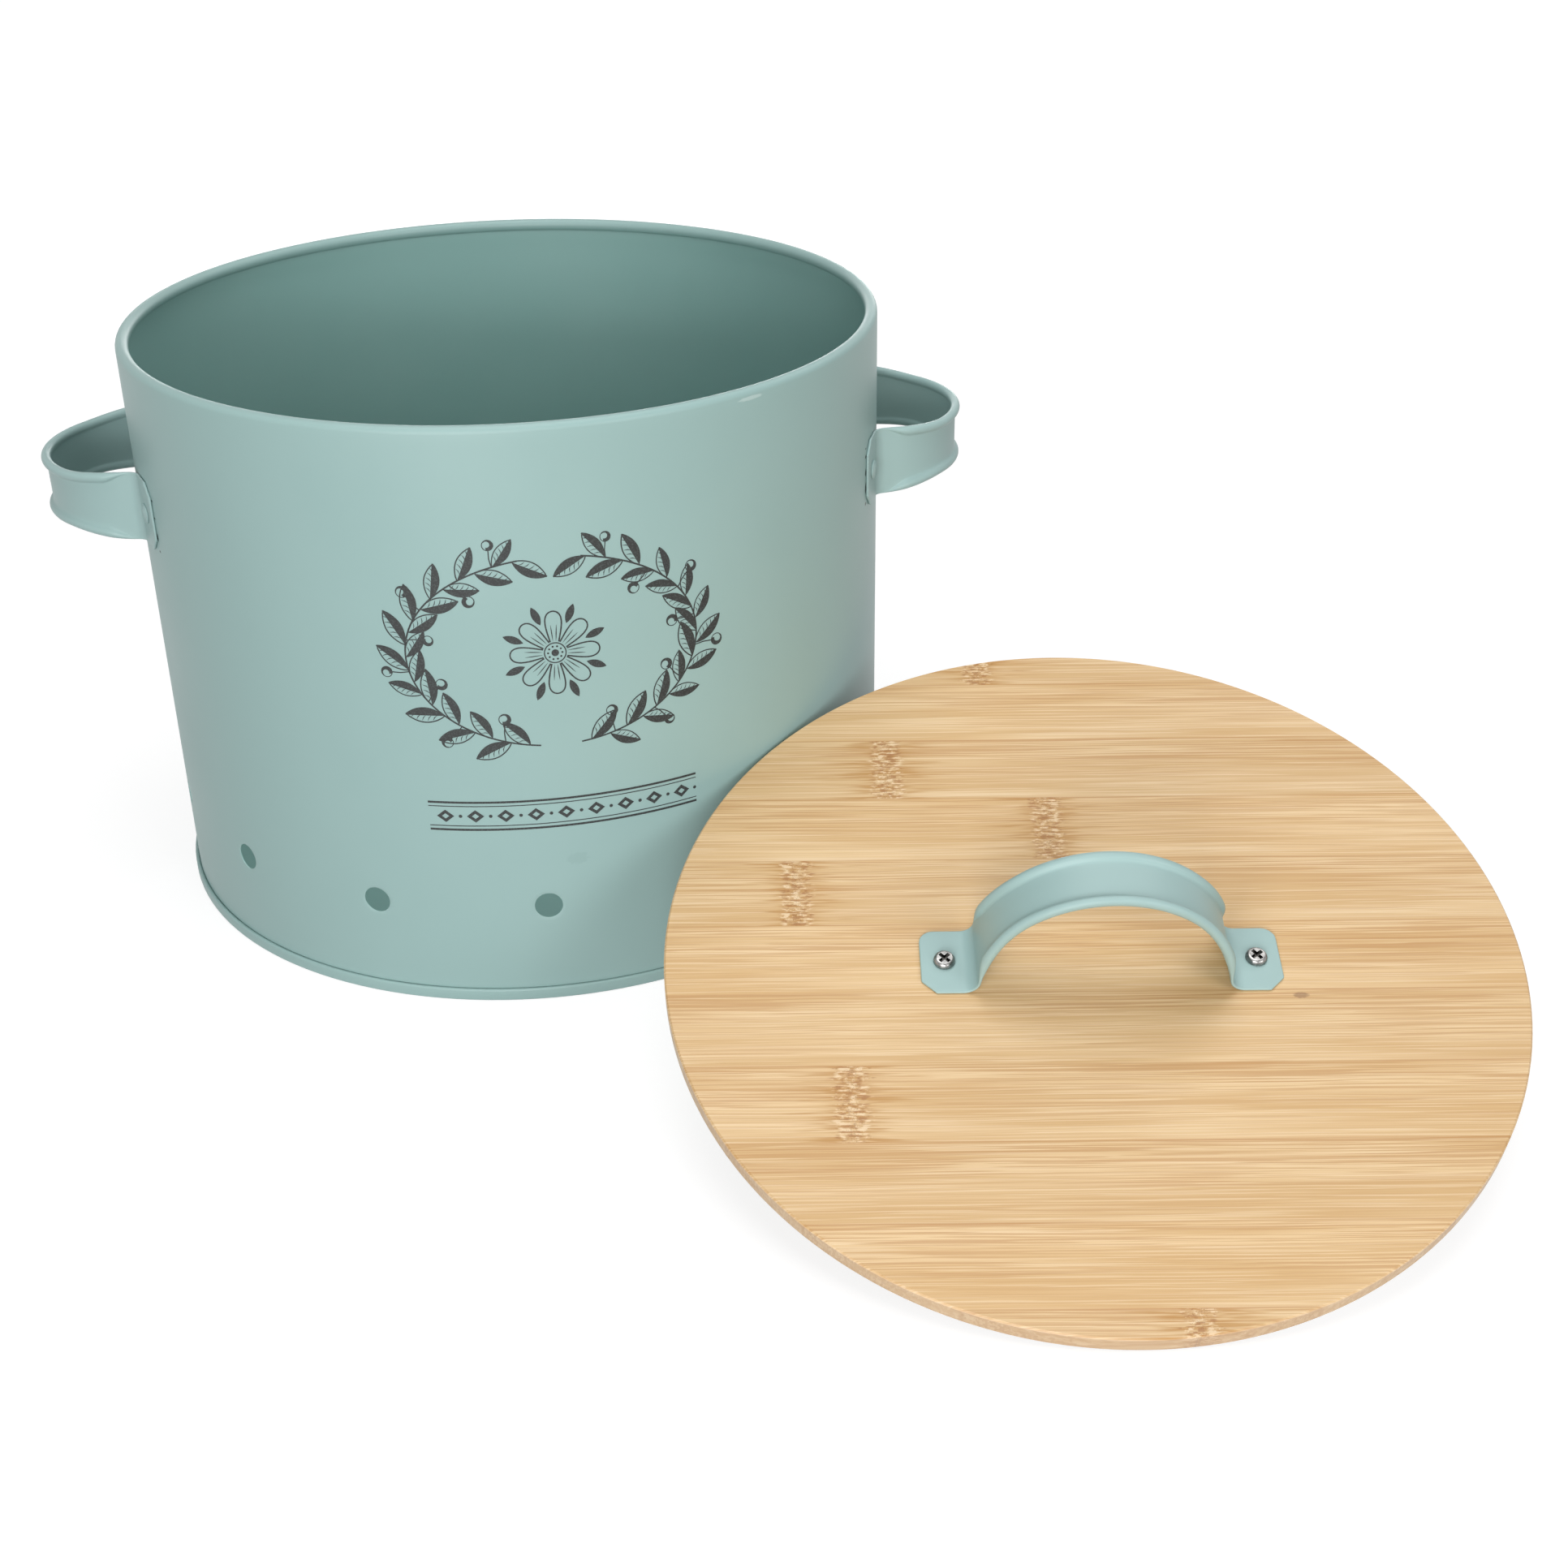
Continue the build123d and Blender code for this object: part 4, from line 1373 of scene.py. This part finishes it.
@dataclass
class WreathPrint:
    """A charcoal wreath of leaves and berries round a blossom, over a row of lozenges.

    art is the flat art of the part that is being drawn.
    """

    wall_radius: float
    ink: Material
    trees: Trees
    art: FlatArt = field(default_factory=FlatArt)
    lift: float = 0.05
    bearing: float = -86.5
    height: float = 117.0
    half_width: float = 43.0
    half_height: float = 29.5
    leaf: Point = (11.5, 4.8)
    berry: float = 1.75
    petal: Point = (9.5, 7.0)
    petal_start: float = 3.4
    petals: int = 8
    sepal: Place = (9.6, 6.2, 1.15)
    pen: float = 0.38
    row_drop: float = -52.0

    def draw_leaf(self) -> None:
        """Draws a leaf with one dark half and one hatched half."""
        length, half = self.leaf[0], self.leaf[1] / 2
        rim = [(length * share, half * sin(pi * share) ** 0.8) for share in spaced(0.0, 1.0, 12)]
        self.art.band([(x, -y) for x, y in rim], [(x, 0.04 * x) for x, _ in rim])
        self.art.stroke(rim, self.pen)
        for share in (0.2, 0.34, 0.48, 0.62, 0.76):
            start, end = length * share, length * (share + 0.1)
            rise = half * sin(pi * (share + 0.1)) ** 0.8 * 0.8
            self.art.stroke([(start, 0.1), ((start + end) / 2 + 0.15, rise * 0.45), (end, rise)], 0.28, taper=True)

    def draw_berry(self) -> None:
        """Draws a berry on its stalk, with a light left open on it."""
        self.art.stroke([(0.0, 0.0), (2.6, 0.35), (5.2, 0.2)], 0.34)
        centre, light = (6.8, 0.2), (7.08, 0.5)
        self.art.band(arc(centre, self.berry, -200, 250, 14), arc(light, self.berry * 0.55, -200, 250, 14))
        self.art.stroke(arc(centre, self.berry - 0.12, 50, 110, 6), 0.24)

    def draw_petal(self) -> None:
        """Draws a rounded petal that points along X, with its veins."""
        length, width = self.petal
        rim = []
        for share in spaced(0.0, 1.0, 24):
            along = sin(pi * share) ** 0.6
            side = -cos(pi * share) * (0.35 + 0.65 * along)
            rim.append((self.petal_start + length * along, width / 2 * side))
        self.art.stroke(rim, self.pen + 0.06)
        for side in (-0.34, -0.12, 0.12, 0.34):
            reach = length * (0.62 - abs(side) * 0.5)
            vein = [
                (self.petal_start + reach * share, side * width * (0.5 + 0.5 * share)) for share in spaced(0.05, 1, 4)
            ]
            self.art.stroke(vein, 0.3, taper=True)

    def draw_sepal(self) -> None:
        """Draws a dark pointed leaf that shows between two petals."""
        start, length, half = self.sepal
        turn = Matrix.Rotation(pi / self.petals, 2)
        self.art.band(*(
            [turn @ Vector((start + length * share, side * sin(pi * share) ** 0.8)) for share in spaced(0.0, 1.0, 8)]
            for side in (-half, half)
        ))

    def draw_lines(self) -> None:
        """Draws the branches' stems, the blossom's heart and the rules of the row."""
        for side in (1, -1):
            oval = [(radians(turn), side * self.half_width) for turn in spaced(8, 168, 60)]
            self.art.stroke([(width * sin(turn), -self.half_height * cos(turn)) for turn, width in oval], 0.5)
        self.art.dot((0, 0), 1.1)
        self.art.stroke(arc((0, 0), 3.1, 0, 360, 40), 0.36)
        for turn in range(0, 360, 36):
            self.art.dot(on_circle((0, 0), 2.05, turn), 0.32, 8)
        for drop, width in ((4.6, 0.7), (3.3, 0.3), (-3.3, 0.3), (-4.6, 0.7)):
            self.art.stroke([(x, self.row_drop + drop) for x in spaced(-41, 41, 40)], width)

    def draw_lozenge(self) -> None:
        """Draws a lozenge with an open heart, and a dot beside it."""
        outer = [(2.6, 0), (0, 2.1), (-2.6, 0), (0, -2.1), (2.6, 0)]
        self.art.band(outer, [(x * 0.42, y * 0.42) for x, y in outer])
        self.art.dot((4.5, 0), 0.55, 10)

    def on_branches(self, count: int, turns: Point, spread: float, sizes: Point, seed: int) -> dict[str, Any]:
        """How copies sit on the branches.

        Args:
            count: How many each branch has.
            turns: Where the first and the last one sit.
            spread: How far they stand off the branch.
            sizes: The smallest and the largest.
            seed: The seed of their sizes.

        Returns:
            The tree's inputs.
        """
        return {
            "Half Width": self.half_width * MM, "Half Height": self.half_height * MM, "Count": count, "Seed": seed,
            "First Turn": radians(turns[0]), "Last Turn": radians(turns[1]), "Spread": radians(spread),
            "Least Size": sizes[0], "Most Size": sizes[1],
        }

    def build(self) -> None:
        """Builds every part of the print and bends it onto the wall."""
        ring = {"Count": self.petals, "Weld": WELD / 2}
        row = {"Count": 9, "Pitch": 9.0 * MM, "Height": self.row_drop * MM}
        wrap = {"Radius": (self.wall_radius + self.lift) * MM, "Bearing": radians(self.bearing)}
        wrap |= {"Height": self.height * MM, "Finish": self.ink}
        leaves = self.on_branches(21, (12, 166), 38, (0.84, 1.06), 4)
        berries = self.on_branches(8, (22, 158), 78, (0.9, 1.1), 11)
        parts = (
            ("leaves", self.draw_leaf, self.trees.branches, leaves),
            ("berries", self.draw_berry, self.trees.branches, berries),
            ("petals", self.draw_petal, self.trees.ring, ring),
            ("sepals", self.draw_sepal, self.trees.ring, ring),
            ("lozenges", self.draw_lozenge, self.trees.row, row),
            ("lines", self.draw_lines, None, {}),
        )
        for name, draw, tree, settings in parts:
            self.art = FlatArt()
            draw()
            part = self.art.piece(name)
            if tree:
                grow(part, tree, settings | {"Finish": self.ink})
            grow(part, self.trees.wrap, wrap)
            hand_over(part, Body.BIN, Slot.PAINT)


# ---------------------------------------------------------------- studio


@dataclass
class Lamp:
    """A soft rectangular lamp, aimed at the object. Place and size in millimetres."""

    name: str
    place: Place
    size: Point
    power: float
    aim: Place = (40.0, -60.0, 70.0)

    def build(self) -> None:
        """Hangs the lamp."""
        light = bpy.data.lights.new(self.name, "AREA")
        light.shape, light.energy = "RECTANGLE", self.power
        light.size, light.size_y = self.size[0] * MM, self.size[1] * MM
        lamp = bpy.data.objects.new(self.name, light)
        lamp.location = Vector(self.place) * MM
        lamp.rotation_euler = (Vector(self.aim) - Vector(self.place)).to_track_quat("-Z", "Y").to_euler()
        bpy.context.scene.collection.objects.link(lamp)


@dataclass
class Studio:
    """The white floor, the soft lamps and the camera."""

    camera_place: Place = (-0.22, -668.64, 367.18)
    camera_heading: float = 82.424
    camera_pitch: float = 28.338
    camera_roll: float = -0.841
    lens: float = 48.03
    dome: float = 0.01
    floor_grey: float = 0.3
    floor_lift: float = 0.8
    floor_size: float = 12000.0
    lamps: tuple[Lamp, ...] = (
        Lamp("front", (-476.0, -1465.0, 718.0), (900.0, 700.0), 7.9),
        Lamp("low", (-464.0, -1618.0, 237.0), (900.0, 500.0), 14.2),
        Lamp("right", (847.0, -1355.0, 581.0), (700.0, 700.0), 7.7),
        Lamp("top", (-17.0, -117.0, 1696.0), (1200.0, 1200.0), 15.1),
        Lamp("back_right", (927.0, 579.0, 1302.0), (900.0, 900.0), 4.7),
        Lamp("back", (234.0, 1667.0, 237.0), (1200.0, 500.0), 8.0),
    )

    @staticmethod
    def seen_directly(wiring: Wiring) -> Wire:
        """One for what the camera, a reflection or clear glass shows, else nothing."""
        path = wiring.outputs("ShaderNodeLightPath")
        return path["Is Camera Ray"].math("MAXIMUM", path["Is Glossy Ray"]).math("MAXIMUM", path["Is Transmission Ray"])

    def build_world(self) -> None:
        """Sets a dim white dome that the camera and reflections see as plain white."""
        world = bpy.data.worlds.new("studio")
        world.use_nodes = True
        world.node_tree.nodes.clear()
        wiring = Wiring(world.node_tree)
        strength = self.seen_directly(wiring).ease(0.0, 1.0, self.dome, 1.0)
        back = wiring.add("ShaderNodeBackground", {"Color": (1, 1, 1, 1), "Strength": strength})
        wiring.node("ShaderNodeOutputWorld", {"Surface": back})
        bpy.context.scene.world = world

    def build_floor(self) -> None:
        """Lays the white floor, which keeps the object's shadow."""
        half = self.floor_size / 2
        corners = [(-half, -half, 0), (half, -half, 0), (half, half, 0), (-half, half, 0)]
        floor = make_piece("floor", corners, [(0, 1, 2, 3)])
        wiring = Finish("white_floor")
        grey = self.floor_grey
        matt = wiring.add("ShaderNodeBsdfDiffuse", {"Color": (grey, grey, grey, 1)})
        white = wiring.add("ShaderNodeTexCoord", out="Object").length().ease(0.35, 1.1, self.floor_lift, 1.0)
        lift = self.seen_directly(wiring) * white
        glow = wiring.add("ShaderNodeEmission", {"Color": (1, 1, 1, 1), "Strength": lift})
        floor.data.materials.append(wiring.close({0: matt, 1: glow}, "ShaderNodeAddShader"))

    def build_camera(self) -> None:
        """Stands the camera where the object is seen from."""
        camera = bpy.data.objects.new("camera", bpy.data.cameras.new("camera"))
        camera.data.lens = self.lens
        camera.data.sensor_width = 36.0
        heading, pitch = radians(self.camera_heading), radians(self.camera_pitch)
        ahead = Vector((cos(heading) * cos(pitch), sin(heading) * cos(pitch), -sin(pitch)))
        level = Matrix.Rotation(radians(self.camera_roll), 3, "Z")
        camera.location = Vector(self.camera_place) * MM
        camera.rotation_euler = (ahead.to_track_quat("-Z", "Y").to_matrix() @ level).to_euler()
        bpy.context.scene.collection.objects.link(camera)
        bpy.context.scene.camera = camera

    def build(self) -> None:
        """Builds the studio."""
        bpy.context.scene.view_settings.view_transform = "Standard"
        self.build_world()
        self.build_floor()
        self.build_camera()
        for lamp in self.lamps:
            lamp.build()


def main() -> None:
    """Builds the studio and dresses the bin and its lid."""
    logging.basicConfig(level=logging.INFO, format="%(message)s")
    Studio().build()
    trees, effects = Trees(), Effects()
    steel_bin = SteelBin()
    handles, spread = bin_handles(steel_bin)
    foot_end = spread + degrees((StrapHandle.foot - StrapHandle.hole) / steel_bin.radius) + 0.05
    # Where the wall's inner side takes its painted bounce-light tint.
    bounce_tint_zone = {"inside_radius": steel_bin.wall_line, "inside_top": steel_bin.height}
    wall_enamel = Enamel(marks=steel_bin.marks(foot_end), **bounce_tint_zone).material(effects)
    # The straps and rivets take a lighter copy of the sage enamel: painted light that makes up for the light they lack.
    strap_enamel = Enamel(name="strap_enamel", colour=(0.312, 0.448, 0.437)).material(effects)
    steel_bin.build_sheet(steel_bin.wall_sector(), steel_bin.vent_count, trees.ring, wall_enamel)
    steel_bin.build_sheet(steel_bin.base_sector(), steel_bin.base_sectors, trees.ring, wall_enamel)
    for handle in handles:
        handle.build(Body.BIN, strap_enamel)
    steel_bin.build_rivets(trees, strap_enamel, spread)
    WreathPrint(steel_bin.radius, Ink().material(effects), trees).build()
    strips = [node for name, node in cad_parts.items() if name.startswith("lid_strip")]
    lid = BambooLid(LidPlace.from_frame(strips))
    lid.dress_strips(effects)
    reach = lid.build_handle(strap_enamel)
    lid.build_screws(trees, ZincPlate().material(effects), reach)


if __name__ == "__main__":
    main()
